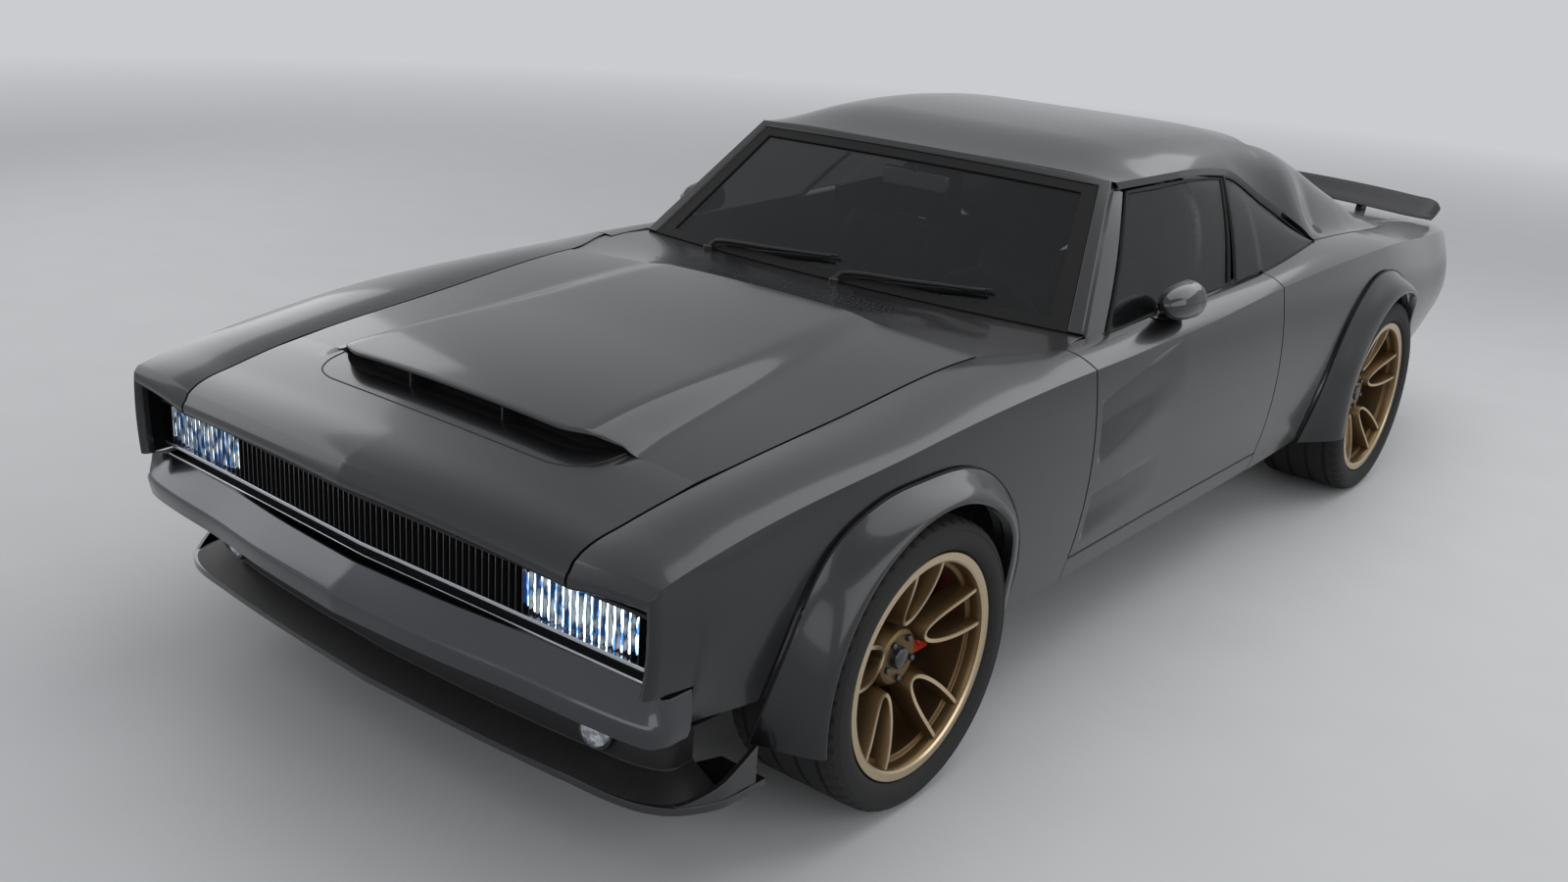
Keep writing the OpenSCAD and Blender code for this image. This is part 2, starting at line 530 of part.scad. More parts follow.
// Doors and the sills under them
sill_top = 346;
module door() {
  stations = [door_front, door_front + 172, door_front + 510, door_front + 880, door_rear];
  outer = [for (y = stations) side_profile(y, sill_top + shut_gap)];
  n = top_steps + side_steps;
  inner = [for (p = outer) [for (i = [0:n])
    let (y = p[0][1], t = i / n)
      [mix(belt_x(y) - 28, p[n][0] - door_depth, t), y - (y == door_rear ? 45 : 0),
        mix(belt_z(y) - 2, p[n][2], t)]]];
  color(paint) skin(outer, inner);
}
module sills() {
  stations = [door_front - shut_gap + seam, door_front + 172, door_front + 510, door_front + 880,
    door_rear + shut_gap - seam];
  outer = [for (y = stations)
    [for (t = [0, 0.5, 1]) let (z = mix(sill_top, sill_z(y), t)) [side_x(y, z), y, z]]];
  inner = [for (y = stations) [for (t = [0, 0.5, 1]) [half_w - 175, y, mix(sill_top, sill_z(y), t)]]];
  stop_y = door_front + 880;
  stop_x = min(belt_x(stop_y) - 28, side_x(stop_y, sill_top + shut_gap) - door_depth) + 1.3;
  color(paint) both_sides() union() {
    skin(outer, inner);
    box([half_w - 174, stop_y - 15, sill_top - 6], [stop_x, stop_y + 15, sill_top + 40]);
  }
}
rail_seat = 0.8;
inner_stations = [nose_y + 150, axle_f - 520, each arch_stations(axle_f, fender_cut), axle_f + fender_cut + 14];
module inner_rails() {
  function edge(y) = let (p = side_back(side_profile(y, side_bottom(y)), sheet, sheet))
    [p[0] - [34, 0, 9], p[0] - [1, 0, 9], p[0] - [0, 0, rail_seat], mix(p[0], p[1], 0.5) - [0, 0, rail_seat]];
  rows = [for (y = inner_stations) edge(y)];
  color(black) both_sides() union() {
    skin(rows, [for (r = rows) [for (q = r) [q[0], q[1], r[0][2] - 30]]]);
    for (y = [axle_f - 300, axle_f + 320])
      translate([bonnet_half(y) - 12, y, belt_z(y) - sheet - 20]) cylinder(h = 20 - rail_seat, r = 9, $fn = 24);
  }
}

// Bullet-shaped mirror on a short post from the door's top. Columns: radius, distance ahead of its middle
mirror_at = [half_w - 75, door_front + 526, 962];
mirror_rows = [[0, -80], [51, -80], [55, -62], [53, -18], [46, 26], [34, 60], [18, 81], [0, 88]];
mirror_post_r = 11;
module door_mirror() {
  foot_x = belt_x(mirror_at[1]) + 14;
  foot_y = mirror_at[1] - 26;
  foot_z = top_z(foot_x - mirror_post_r, foot_y) + glass_low;
  color(black) union() {
    translate(mirror_at) rotate([90, 0, 0]) rotate_extrude() polygon(mirror_rows);
    translate([foot_x, foot_y, foot_z]) cylinder(h = mirror_at[2] - foot_z - 16, r = mirror_post_r);
  }
}

// Front end
face_y = nose_y + 92;
function face_line(x) = face_y - 30 * (1 - abs(x) / 860);
grille_low = 491;
grille_half = 846;
grille_high = 652;
bar_low = 545;
lamp_x0 = 505;
lamp_x1 = 846;
function comb(x0, x1, n, base, depth, web, fill) = concat(
  [[x1, base(x1)], [x1, base(x1) + web], [x0, base(x0) + web], [x0, base(x0)]],
  [for (i = [0:n - 1])
    let (p = (x1 - x0) / n, a = x0 + p * (i + 0.5 - fill / 2), b = a + p * fill)
      each [[a, base(a)], [a, base(a) - depth], [b, base(b) - depth], [b, base(b)]]]);
module grille() {
  color(black) union() {
    translate([0, 0, bar_low]) linear_extrude(grille_high - bar_low)
      polygon(comb(-lamp_x0 + 8, lamp_x0 - 8, grille_bars, function(x) face_line(x), 34, 12, 0.35));
    translate([0, 0, grille_low]) linear_extrude(grille_high - grille_low)
      polygon([for (x = [-1, 0, 1] * grille_half) [x, face_line(x) + 10.4],
        for (x = [1, 0, -1] * grille_half) [x, face_line(x) + 30]]);
    both_sides() box([560, face_line(560) + 24, 560], [600, nose_y + 152 - seam, 640]);
    translate([0, 0, bar_low - 22]) linear_extrude(14)
      polygon([for (x = [-1, 0, 1] * grille_half) [x, face_line(x) - 40],
        for (x = [1, 0, -1] * grille_half) [x, face_line(x) + 14]]);
  }
}
module headlamps() {
  color([0.75, 0.85, 1]) both_sides() translate([0, 0, bar_low]) linear_extrude(grille_high - bar_low)
    polygon(comb(lamp_x0, lamp_x1, 13, function(x) face_line(x) - 6, 26, 16, 0.55));
}

// Plans of the bumpers and the valances. Columns: share of the half width, distance behind the middle's front
// face, then the way out of the face for a step of 1
bumper_rows = [
  [0, 0, 0, -1], [0.33, 18, 0.06, -1], [0.58, 42, 0.08, -1], [0.81, 56, 0.1, -1], [0.93, 70, 0.3, -0.95],
  [0.985, 86, 0.85, -0.76], [1, 110, 1, -0.6], [1.001, bumper_wrap, 1, 0]
];
valance_rows = [
  [0, 0, 0, -1], [0.4, 14, 0.06, -1], [0.7, 36, 0.1, -1], [0.88, 62, 0.3, -0.95], [0.965, 104, 0.72, -0.69],
  [1, 170, 0.96, -0.28], [1.001, 235, 1, 0]
];
function wrap(rows, half, front) = let (
    one = [for (r = rows) [[half * r[0], front + r[1]], [r[2], r[3]]]],
    two = [for (i = [len(one) - 1:-1:1]) [[-one[i][0][0], one[i][0][1]], [-one[i][1][0], one[i][1][1]]]]
  ) concat(two, one);
function wrap_sheet(path, section, turn) = [for (p = path) [for (s = section)
  let (q = p[0] + p[1] * s[0]) [q[0], turn * q[1], s[1]]]];
module wrapped(rows, half, front, outer, inner, turn) {
  path = wrap(rows, half, front);
  skin(wrap_sheet(path, outer, turn), wrap_sheet(path, inner, turn));
}
bumper_half = 918;
bumper_outer = [[-66, 506], [-34, 479], [0, 447], [-8, 398]];
bumper_inner = [[-68, 503], [-68, 470], [-68, 430], [-68, 396]];
module front_bumper() {
  color(steel) wrapped(bumper_rows, bumper_half, front_y, bumper_outer, bumper_inner, 1);
}
valance_half = 884;
valance_top = 396 - seam;
chin_z = splitter_z + splitter_t + seam;
module front_valance() {
  color(black) wrapped(valance_rows, valance_half, front_y + 70,
    [[-4, valance_top], [-80, 358], [-80, 256], [-12, chin_z]],
    [[-26, valance_top], [-102, 358], [-102, 256], [-34, chin_z]], 1);
}
lamp_at = [646, front_y + 190.6, 307];
module fog_lamps() {
  color([0.8, 0.85, 0.9]) both_sides() translate(lamp_at) rotate([90, 0, 9.3]) union() {
    cylinder(h = 26, r = 44);
    translate([0, 0, 22]) cylinder(h = 10, r = 30);
  }
}
// Splitter's edge. Columns: half width, distance behind the bumper's front
splitter_rows = [[0, 85], [380, 102], [620, 120], [778, 139], [853, 174], [892, 223], [918, 289], [922, 405]];
module splitter() {
  edge = [for (r = splitter_rows) [r[0], front_y + r[1]]];
  color(black) union() {
    translate([0, 0, splitter_z]) linear_extrude(splitter_t) polygon(concat(
      [for (i = [len(edge) - 1:-1:1]) [-edge[i][0], edge[i][1]]], edge,
      [[800, front_y + 405], [760, front_y + 300], [-760, front_y + 300], [-800, front_y + 405]]));
    both_sides() translate([906, front_y + 248, splitter_z + splitter_t - 2]) rotate([90, 0, 90])
      linear_extrude(14) polygon([[0, 0], [138, 0], [138, 90], [112, 90]]);
  }
}

// Rear end
tail_panel_y = tail_y - 110;
module tail_panel() {
  zs = [508, 560, 620, 680, 740, 758];
  function half(z) = side_x(tail_y, z) - sheet - 4;
  color(black) translate([0, tail_panel_y + sheet, 0]) rotate([90, 0, 0]) linear_extrude(sheet) polygon(concat(
    [for (z = zs) [half(z), z]], [for (i = [len(zs) - 1:-1:0]) [-half(zs[i]), zs[i]]]));
}
module tail_lamps() {
  color([0.6, 0.05, 0.04]) both_sides() for (x = [400, 610])
    translate([x, tail_panel_y + sheet + seam, 650]) rotate([-90, 0, 0]) cylinder(h = 22, r = 66);
}
rear_bumper_half = 800;
module rear_bumper() {
  color(steel) wrapped(bumper_rows, rear_bumper_half, -rear_y, bumper_outer, bumper_inner, -1);
}
module rear_valance() {
  color(black) wrapped(valance_rows, rear_bumper_half - 20, -rear_y + 60,
    [[-4, valance_top], [-14, 340], [-50, 270]],
    [[-26, valance_top], [-36, 344], [-72, 280]], -1);
}

// Floor, tunnel, bulkheads and rails
floor_z = 200;
floor_t = 24;
bulkhead_t = 24;
tunnel_half = 170;
tunnel_top = 440;
floor_half = half_w - 175.3;
floor_y0 = door_front - 110;
floor_y1 = axle_r - 500;
rail_in = 400;
rear_floor_z = 560;
module slab_y(y0, y1, shape) {
  translate([0, y1, 0]) rotate([90, 0, 0]) linear_extrude(y1 - y0) polygon(shape);
}
function mirrored(shape) = concat(shape, [for (i = [len(shape) - 1:-1:0]) [-shape[i][0], shape[i][1]]]);
module box(low, high) {
  translate(low) cube(high - low);
}
// Flat tongue with a tow eye, its hole upright
eye_from_root = 87;
module tow_eye(root_y, z, turn) {
  translate([0, root_y, z]) difference() {
    box([-30, min(0, turn * 118), 0], [30, max(0, turn * 118), 12]);
    translate([0, turn * eye_from_root, -4]) cylinder(h = 20, r = tow_eye_r);
  }
}
module platform() {
  color(black) slab_y(floor_y0, floor_y1, mirrored([
    [tunnel_half, tunnel_top], [tunnel_half, floor_z + floor_t], [floor_half - 90, floor_z + floor_t],
    [floor_half - 90, sill_top - 8], [floor_half, sill_top - 8], [floor_half, floor_z],
    [tunnel_half - 20, floor_z], [tunnel_half - 20, tunnel_top - 20]]));
}
// Bulkheads that stand on the floor, the rails ahead of them and behind, and the boot's floor
module bulkhead(y, half, top) {
  over_floor = floor_z + floor_t + seam;
  slab_y(y, y + bulkhead_t, mirrored([
    [half, top], [half, over_floor], [tunnel_half + seam, over_floor],
    [tunnel_half + seam, tunnel_top + seam]]));
}
module chassis_frame() {
  rear_end = tail_panel_y - seam;
  color(black) union() {
    bulkhead(floor_y0, 690, 866);
    bulkhead(floor_y1 - bulkhead_t, 560, rear_floor_z + 10);
    box([-560, floor_y1 - 12, rear_floor_z], [560, rear_end, rear_floor_z + 22]);
    both_sides() {
      box([rail_in, nose_y + 152, 280], [rail_in + 60, floor_y0 + 12, 380]);
      box([rail_in, front_y + 103, 430], [rail_in + 60, nose_y + 162, 490]);
      box([rail_in + 40, floor_y1 - 12, rear_floor_z - 80], [rail_in + 110, rear_end, rear_floor_z + 10]);
      box([rail_in + 40, tail_y - 140, 430], [rail_in + 100, tail_y - 61.4, 497]);
    }
    box([-640, nose_y + 152, 250], [640, nose_y + 174, 690]);
    tow_eye(nose_y + 172, 252, 1);
    tow_eye(rear_end, 510, -1);
    box([-30, rear_end - 20, 510], [30, rear_end, rear_floor_z + 10]);
  }
}

// Front suspension's fixed parts: crossmember, towers, arms and the pins that the uprights turn on
arm_low = 165;
arm_high = 492;
module arm(z, t, reach, root) {
  translate([0, axle_f, z]) linear_extrude(t) polygon([
    [reach + 16, -12], [reach + 16, 12], [reach + 4, 24], [reach - 20, 40], [480, root], [480, -root],
    [reach - 20, -40], [reach + 4, -24]]);
}
module front_subframe() {
  color(steel) union() {
    box([-500, axle_f - 60, floor_z], [500, axle_f + 60, 280 - seam]);
    both_sides() {
      box([466, axle_f - 90, arm_low], [520, axle_f + 90, arm_high + 24]);
      arm(arm_low, 24, kingpin_x, 130);
      arm(arm_high, 20, kingpin_x, 110);
      translate([kingpin_x, axle_f, arm_low + 12]) cylinder(h = 50, r = kingpin_r);
      translate([kingpin_x, axle_f, arm_high - 38]) cylinder(h = 50, r = kingpin_r);
    }
  }
}
function disc_low(wheel_x) = wheel_x - 70;
module caliper(x, y, z, turn) {
  difference() {
    box([x - 94, y + turn * 170 - 36, z - 64], [x - 14, y + turn * 170 + 36, z + 64]);
    box([x - 76, y + turn * 143 - 53, z - 70], [x - 34, y + turn * 143 + 53, z + 70]);
  }
}
module knuckle() {
  z = front_wheel_z;
  color(steel) union() {
    difference() {
      box([kingpin_x - 30, axle_f - 42, arm_low + 30], [kingpin_x + 18, axle_f + 42, arm_high - 6]);
      translate([kingpin_x, axle_f, arm_low]) cylinder(h = 68, r = kingpin_r + fit);
      translate([kingpin_x, axle_f, arm_high - 44]) cylinder(h = 60, r = kingpin_r + fit);
    }
    translate([kingpin_x + 10, axle_f, z]) rotate([0, 90, 0]) cylinder(h = kingpin_offset + 40, r = spindle_r);
    box([kingpin_x - 12, axle_f + 30, z - 40], [kingpin_x + 14, axle_f + 150, z + 40]);
    caliper(front_wheel_x, axle_f, z, 1);
  }
}

// Wheels lie along X with their outer face at +X. Columns: radius past the bead seat, distance from the middle
module rim(rim_d, width, disc_at) {
  ro = rim_d / 2 - seam;
  hw = width / 2 - 13;
  reach = ro - 24;
  difference() {
    union() {
      rotate([0, 90, 0]) rotate_extrude() polygon([
        [ro - 14, -hw], [ro + 17, -hw], [ro + 17, -hw + 9], [ro, -hw + 12], [ro, hw - 12], [ro + 17, hw - 9],
        [ro + 17, hw], [ro - 8, hw], [ro - 26, hw - 24], [ro - 26, -hw + 30]]);
      for (i = [0:spoke_count - 1], k = [-1, 1])
        rotate([i * 360 / spoke_count, 0, 0]) translate([hw - 62, 0, 0]) rotate([90, 0, 90]) linear_extrude(36)
          polygon([[k * 20 - 14, 58], [k * 20 + 14, 58], [k * 72 + 15, reach], [k * 72 - 15, reach]]);
      translate([disc_at, 0, 0]) rotate([0, 90, 0]) cylinder(h = hw - 20 - disc_at, r = 86);
      translate([disc_at, 0, 0]) rotate([0, 90, 0]) cylinder(h = 30, r = disc_r);
    }
    translate([disc_at - 1, 0, 0]) rotate([0, 90, 0]) cylinder(h = width, r = spindle_r + fit);
  }
}
module tyre(tyre_d, width, rim_d) {
  ri = rim_d / 2;
  ro = tyre_d / 2;
  hw = width / 2;
  fl = hw - 13 - 12.5;
  rotate([0, 90, 0]) rotate_extrude($fn = 128) polygon([
    [ri, -fl], [ri + 19, -fl - 2], [ri + 24, -hw + 6], [mix(ri, ro, 0.5), -hw], [ro - 22, -hw + 4],
    [ro - 5, -hw + 14], [ro, -hw + 34], [ro, hw - 34], [ro - 5, hw - 14], [ro - 22, hw - 4],
    [mix(ri, ro, 0.5), hw], [ri + 24, hw - 6], [ri + 19, fl + 2], [ri, fl]]);
}
module front_wheel() {
  color(bronze) translate([front_wheel_x, axle_f, front_wheel_z]) rim(front_rim_d, front_tyre_w, -70);
}
module rear_wheel() {
  color(bronze) translate([rear_wheel_x, axle_r, rear_wheel_z]) rim(rear_rim_d, rear_tyre_w, -70);
}
module front_tyre() {
  color(black) translate([front_wheel_x, axle_f, front_wheel_z]) tyre(front_tyre_d, front_tyre_w, front_rim_d);
}
module rear_tyre() {
  color(black) translate([rear_wheel_x, axle_r, rear_wheel_z]) tyre(rear_tyre_d, rear_tyre_w, rear_rim_d);
}

// Rear axle with its brake calipers, and the leaf springs under it
module rear_axle() {
  z = rear_wheel_z;
  color(steel) union() {
    translate([-rear_wheel_x - 40, axle_r, z]) rotate([0, 90, 0])
      cylinder(h = 2 * rear_wheel_x + 80, r = spindle_r);
    translate([-rear_wheel_x + 86, axle_r, z]) rotate([0, 90, 0]) cylinder(h = 2 * rear_wheel_x - 172, r = 45);
    translate([-110, axle_r, z]) rotate([0, 90, 0]) cylinder(h = 220, r = 140);
    translate([0, axle_r - 170, z]) rotate([-90, 0, 0]) cylinder(h = 120, r = 70);
    both_sides() {
      box([rear_wheel_x - 106, axle_r - 150, z - 40], [rear_wheel_x - 84, axle_r, z + 40]);
      caliper(rear_wheel_x, axle_r, z, -1);
    }
  }
}
spring_z = rear_wheel_z - 45 - seam;
module rear_springs() {
  color(black) both_sides() union() {
    box([rail_in + 45, axle_r - 440, spring_z - 26], [rail_in + 105, axle_r + 640, spring_z]);
    box([rail_in + 55, axle_r - 440, spring_z - 20], [rail_in + 95, axle_r - 400, rear_floor_z - 80 - seam]);
    box([rail_in + 55, axle_r + 600, spring_z - 20], [rail_in + 95, axle_r + 640, rear_floor_z - 80 - seam]);
  }
}
shaft_z = 330;
gearbox_end = floor_y0 + 500;
module engine() {
  color(steel) union() {
    box([-330, axle_f - 320, 280], [330, axle_f + 330, 760]);
    box([-135, axle_f + 320, 240], [135, gearbox_end, 410]);
  }
}
module propshaft() {
  color(steel) union() {
    translate([0, gearbox_end + seam, shaft_z]) rotate([-90, 0, 0]) {
      cylinder(h = axle_r - 170 - gearbox_end - 2 * seam, r = 38);
      cylinder(h = 60, r = 55);
    }
  }
}
// Exhaust pipes, left: down from the engine, back along the tunnel's mouth, over to the tail
pipe_r = 32;
pipe_path = [
  [240, axle_f + 200, 280 - seam], [240, axle_f + 200, 235], [240, axle_f + 235, 205], [240, axle_f + 300, 196],
  [100, floor_y0 - 40, 196], [100, floor_y1 + 40, 196], [300, axle_r - 300, 250], [300, axle_r + 300, 250],
  [420, axle_r + 760, 234], [420, tail_y - 60, 230], [420, tail_y + 20, 230]
];
module exhaust() {
  color(steel) both_sides() tube(pipe_path, pipe_r, 10);
}
module fuel_tank() {
  color(black) box([-380, axle_r + 380, 330], [380, axle_r + 900, rear_floor_z - seam]);
}

// Cabin
dash_half = 690;
module dashboard() {
  y = floor_y0 + 24 + seam;
  color(black) translate([-dash_half, 0, 0]) rotate([90, 0, 90]) linear_extrude(2 * dash_half)
    polygon([[y, 620], [y, 850], [y + 120, 862], [y + 300, 856], [y + 330, 820], [y + 300, 760],
      [y + 200, 620]]);
}
wheel_at = [370, floor_y0 + 520, 800];
module steering_wheel() {
  color(black) union() {
    translate(wheel_at) rotate([-68, 0, 0]) {
      rotate_extrude() translate([178, 0]) circle(r = 15);
      translate([0, 0, -12]) cylinder(h = 26, r = 52);
      for (a = [0, 120, 240]) rotate([0, 0, a - 90]) translate([30, -14, -7]) cube([146, 28, 14]);
      translate([0, 0, -206.6]) cylinder(h = 200.6, r = 30);
    }
  }
}
headrest_top = down(260);
module seat() {
  x = 428;
  y = door_front + 640;
  translate([x - 245, 0, 0]) rotate([90, 0, 90]) linear_extrude(490)
    polygon([[y, floor_z + floor_t + seam], [y, 400], [y + 20, 430], [y + 420, 400],
      [y + 560, 880], [y + 600, 890],
      [y + 660, 880], [y + 540, 360], [y + 500, floor_z + floor_t + seam]]);
  translate([x - 130, 0, 0]) rotate([90, 0, 90]) linear_extrude(260)
    polygon([[y + 580, 870], [y + 600, headrest_top - 10], [y + 640, headrest_top],
      [y + 680, headrest_top - 20], [y + 660, 870]]);
}
module front_seats() {
  color(black) both_sides() seat();
}
// Main hoop of the roll cage, left half from the top. Columns: half width, height
hoop_rows = [[0, down(170)], [420, down(178)], [490, down(200)], [540, down(260)], [585, cabin_low], [600, 700],
  [600, floor_z + floor_t + 0.5]];
module roll_cage() {
  y = door_rear + 110;
  color(steel) tube(concat(
    [for (i = [len(hoop_rows) - 1:-1:1]) [-hoop_rows[i][0], y, hoop_rows[i][1]]],
    [for (r = hoop_rows) [r[0], y, r[1]]]), 21, 10);
}
module wipers() {
  color(black) for (u = [[-0.62, -0.05], [0.02, 0.62]])
    tube([screen(u[0], -0.01, 10.5), screen(u[0] + 0.02, 0.05, 17), screen(u[1], 0.13, 17)], 7, 8);
}

// The pieces, each at its place
module right() {
  mirror([1, 0, 0]) children();
}
platform();
chassis_frame();
front_subframe();
engine();
propshaft();
exhaust();
fuel_tank();
rear_axle();
rear_springs();
inner_rails();
fender();  // fender_left
right() fender();  // fender_right
quarter();  // quarter_left
right() quarter();  // quarter_right
sills();
front_flares();
rear_flares();
windshield_frame();
roof();
c_pillar();  // c_pillar_left
right() c_pillar();  // c_pillar_right
cowl();
deck_filler();
wipers();
grille();
headlamps();
front_bumper();
front_valance();
fog_lamps();
splitter();
tail_panel();
tail_lamps();
rear_bumper();
rear_valance();
windshield();
rear_window();
quarter_glass();
dashboard();
steering_wheel();
front_seats();
roll_cage();
hood();
trunk_lid();
spoiler();
door();  // door_left
right() door();  // door_right
door_glass();  // door_glass_left
right() door_glass();  // door_glass_right
door_mirror();  // mirror_left
right() door_mirror();  // mirror_right
knuckle();  // knuckle_left
right() knuckle();  // knuckle_right
front_wheel();  // wheel_fl
right() front_wheel();  // wheel_fr
rear_wheel();  // wheel_rl
right() rear_wheel();  // wheel_rr
front_tyre();  // tyre_fl
right() front_tyre();  // tyre_fr
rear_tyre();  // tyre_rl
right() rear_tyre();  // tyre_rr
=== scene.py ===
# %% [markdown]
# # Dressing a wide-body muscle car
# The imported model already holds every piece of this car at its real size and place. What it lacks is
# looks: its panels are faceted and bare. This lesson samples the same body sections far more finely, so
# that light runs along the panels without breaks, and then gives each surface the finish of the real
# thing.

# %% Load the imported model
import bmesh
import bpy
import json
import math
import numpy as np
from mathutils import Matrix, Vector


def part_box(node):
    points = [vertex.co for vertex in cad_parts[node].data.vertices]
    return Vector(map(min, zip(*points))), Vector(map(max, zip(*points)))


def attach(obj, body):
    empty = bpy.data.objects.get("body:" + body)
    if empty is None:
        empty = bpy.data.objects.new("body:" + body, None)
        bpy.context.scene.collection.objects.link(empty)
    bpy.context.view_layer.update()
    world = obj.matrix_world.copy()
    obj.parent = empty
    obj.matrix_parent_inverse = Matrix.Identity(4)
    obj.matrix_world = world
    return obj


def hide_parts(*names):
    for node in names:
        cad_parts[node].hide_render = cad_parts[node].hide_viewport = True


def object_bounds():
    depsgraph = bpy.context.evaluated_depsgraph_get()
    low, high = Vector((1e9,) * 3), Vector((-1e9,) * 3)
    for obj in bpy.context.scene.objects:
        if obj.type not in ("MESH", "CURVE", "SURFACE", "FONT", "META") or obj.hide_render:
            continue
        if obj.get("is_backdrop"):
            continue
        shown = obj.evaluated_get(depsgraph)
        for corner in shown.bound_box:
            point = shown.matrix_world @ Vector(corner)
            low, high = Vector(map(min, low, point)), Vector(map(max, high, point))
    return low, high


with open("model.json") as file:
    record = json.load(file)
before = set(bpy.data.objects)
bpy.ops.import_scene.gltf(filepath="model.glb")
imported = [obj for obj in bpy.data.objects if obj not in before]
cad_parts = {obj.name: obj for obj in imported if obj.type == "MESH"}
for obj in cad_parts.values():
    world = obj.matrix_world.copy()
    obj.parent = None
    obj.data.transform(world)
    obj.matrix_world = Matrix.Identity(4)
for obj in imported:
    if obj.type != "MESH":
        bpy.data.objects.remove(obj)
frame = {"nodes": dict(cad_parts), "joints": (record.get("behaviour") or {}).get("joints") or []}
cad_low, cad_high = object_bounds()
print("packed model spans", [round(b - a, 3) for a, b in zip(cad_low, cad_high)], "m")

# %% [markdown]
# ## Driving sizes
# A body panel is easiest to describe in millimetres, so the tables below use them and the mesh helpers
# turn them into metres. The axles and the ends of the panels come from the frame, which keeps every
# surface here on its solid even if the solid moves.

# %% Sizes read from the frame
MM = 0.001
joint_at = {j["name"]: np.array(j["pos_m"]) / MM for j in frame["joints"]}


def node_box(node):
    low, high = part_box(node)
    return np.array(low) / MM, np.array(high) / MM


front_y, rear_y = cad_low.y / MM, cad_high.y / MM
roof_height = cad_high.z / MM
_, axle_f, front_wheel_z = joint_at["front_wheel_l_spin"]
_, axle_r, rear_wheel_z = joint_at["rear_wheel_l_spin"]
front_tyre, rear_tyre = node_box("tyre_fl"), node_box("tyre_rl")
front_wheel_x = np.mean([front_tyre[0][0], front_tyre[1][0]])
rear_wheel_x = np.mean([rear_tyre[0][0], rear_tyre[1][0]])
door_front, door_rear = (corner[1] for corner in node_box("door_left"))
bonnet_rear = node_box("hood")[1][1]
lid_front = node_box("trunk_lid")[0][1]
nose_y = node_box("fender_left")[0][1]
tail_y = node_box("quarter_left")[1][1]
print("axles at", round(axle_f), round(axle_r), "doors from", round(door_front), "to", round(door_rear))

# %% [markdown]
# A few sizes can't be read from a box, because a flare or a neighbour hides them there. They are written
# once, here, and everything below refers to them by name.

# %% Sizes of the body's own
half_w = 975  # half the body's width, without the flares
lip_x = 1037  # how far out the flares' lips stand
lid_half = 640  # half the boot lid's width
sill_top = 346  # where the doors end and the sills begin
skirt_z = 404  # the fender's lower edge behind the bumper
front_arch_r, rear_arch_r = 388, 402  # the flares' openings
shut_gap = 6  # the room between two panels
sheet = 22  # a panel's thickness, with its folded edge
bumper_wrap = 175  # how far the front bumper reaches back
tail_bend = tail_y - 165  # where the tail turns in
notch_y = front_y + bumper_wrap + shut_gap
fender_cut, quarter_cut = front_arch_r + 34, rear_arch_r + 34
print("body", 2 * half_w, "mm wide,", 2 * lip_x, "mm over the flares")

# %% [markdown]
# ## Curves through a table
# A car body is drawn as a few section lines that run from nose to tail. Each line here is one column of a
# short table, with a cubic curve through its values. The slopes are limited so that the curve never
# swings past a value, which would show as a wave in the reflections.


# %% Table curves and small maths
def at(rows, column, y):
    rows = np.asarray(rows, float)
    x, v = rows[:, 0], rows[:, column]
    y = np.asarray(y, float)
    secant = np.diff(v) / np.diff(x)
    slope = np.concatenate([secant[:1], np.zeros(len(x) - 2), secant[-1:]])
    a, b = secant[:-1], secant[1:]
    limit = np.minimum(np.abs(a + b) / 2, 2 * np.minimum(np.abs(a), np.abs(b)))
    slope[1:-1] = np.where(a * b <= 0, 0, np.sign(a) * limit)
    i = np.clip(np.searchsorted(x, y) - 1, 0, len(x) - 2)
    h = x[i + 1] - x[i]
    t = (y - x[i]) / h
    m, n = slope[i] * h, slope[i + 1] * h
    inside = (v[i] * (2 * t**3 - 3 * t**2 + 1) + m * (t**3 - 2 * t**2 + t)
              + v[i + 1] * (3 * t**2 - 2 * t**3) + n * (t**3 - t**2))
    return np.where(t < 0, v[i] + m * t, np.where(t > 1, v[i + 1] + n * (t - 1), inside))


def mix(a, b, t):
    return a + (b - a) * t


def smooth(t):
    s = np.clip(t, 0, 1)
    return s * s * (3 - 2 * s)


def ramp(t, round_share):
    """Rises from 0 to 1 in a straight line with rounded ends."""
    return (np.sqrt(t**2 + round_share) - np.sqrt((t - 1) ** 2 + round_share) + 1) / 2


def unit(v):
    v = np.asarray(v, float)
    return v / np.maximum(np.linalg.norm(v, axis=-1, keepdims=True), 1e-9)


def smooth_path(points, count):
    """A smooth line of count points through a short list of points."""
    points = np.asarray(points, float)
    run = np.concatenate([[0], np.cumsum(np.linalg.norm(np.diff(points, axis=0), axis=1))])
    rows = np.column_stack([run, points])
    where = np.linspace(0, run[-1], count)
    return np.column_stack([at(rows, c + 1, where) for c in range(points.shape[1])])


def spaced(*marks, step=16):
    """Places along the car through all the marks, no further apart than step."""
    out = [np.array([marks[0]])]
    for a, b in zip(marks, marks[1:]):
        out.append(np.linspace(a, b, max(2, int(math.ceil(abs(b - a) / step)) + 1))[1:])
    return np.concatenate(out)


print("places on a metre of the car:", len(spaced(0, 1000)))

# %% [markdown]
# ## Mesh helpers
# Almost every panel is two grids of points, an outer and an inner one, closed round their edges: a real
# pressing has a thickness. A solidify modifier could thicken a single grid, but here the two faces often
# differ, so both are given. Shells that share a row of points can be welded into one, with no wall
# between.


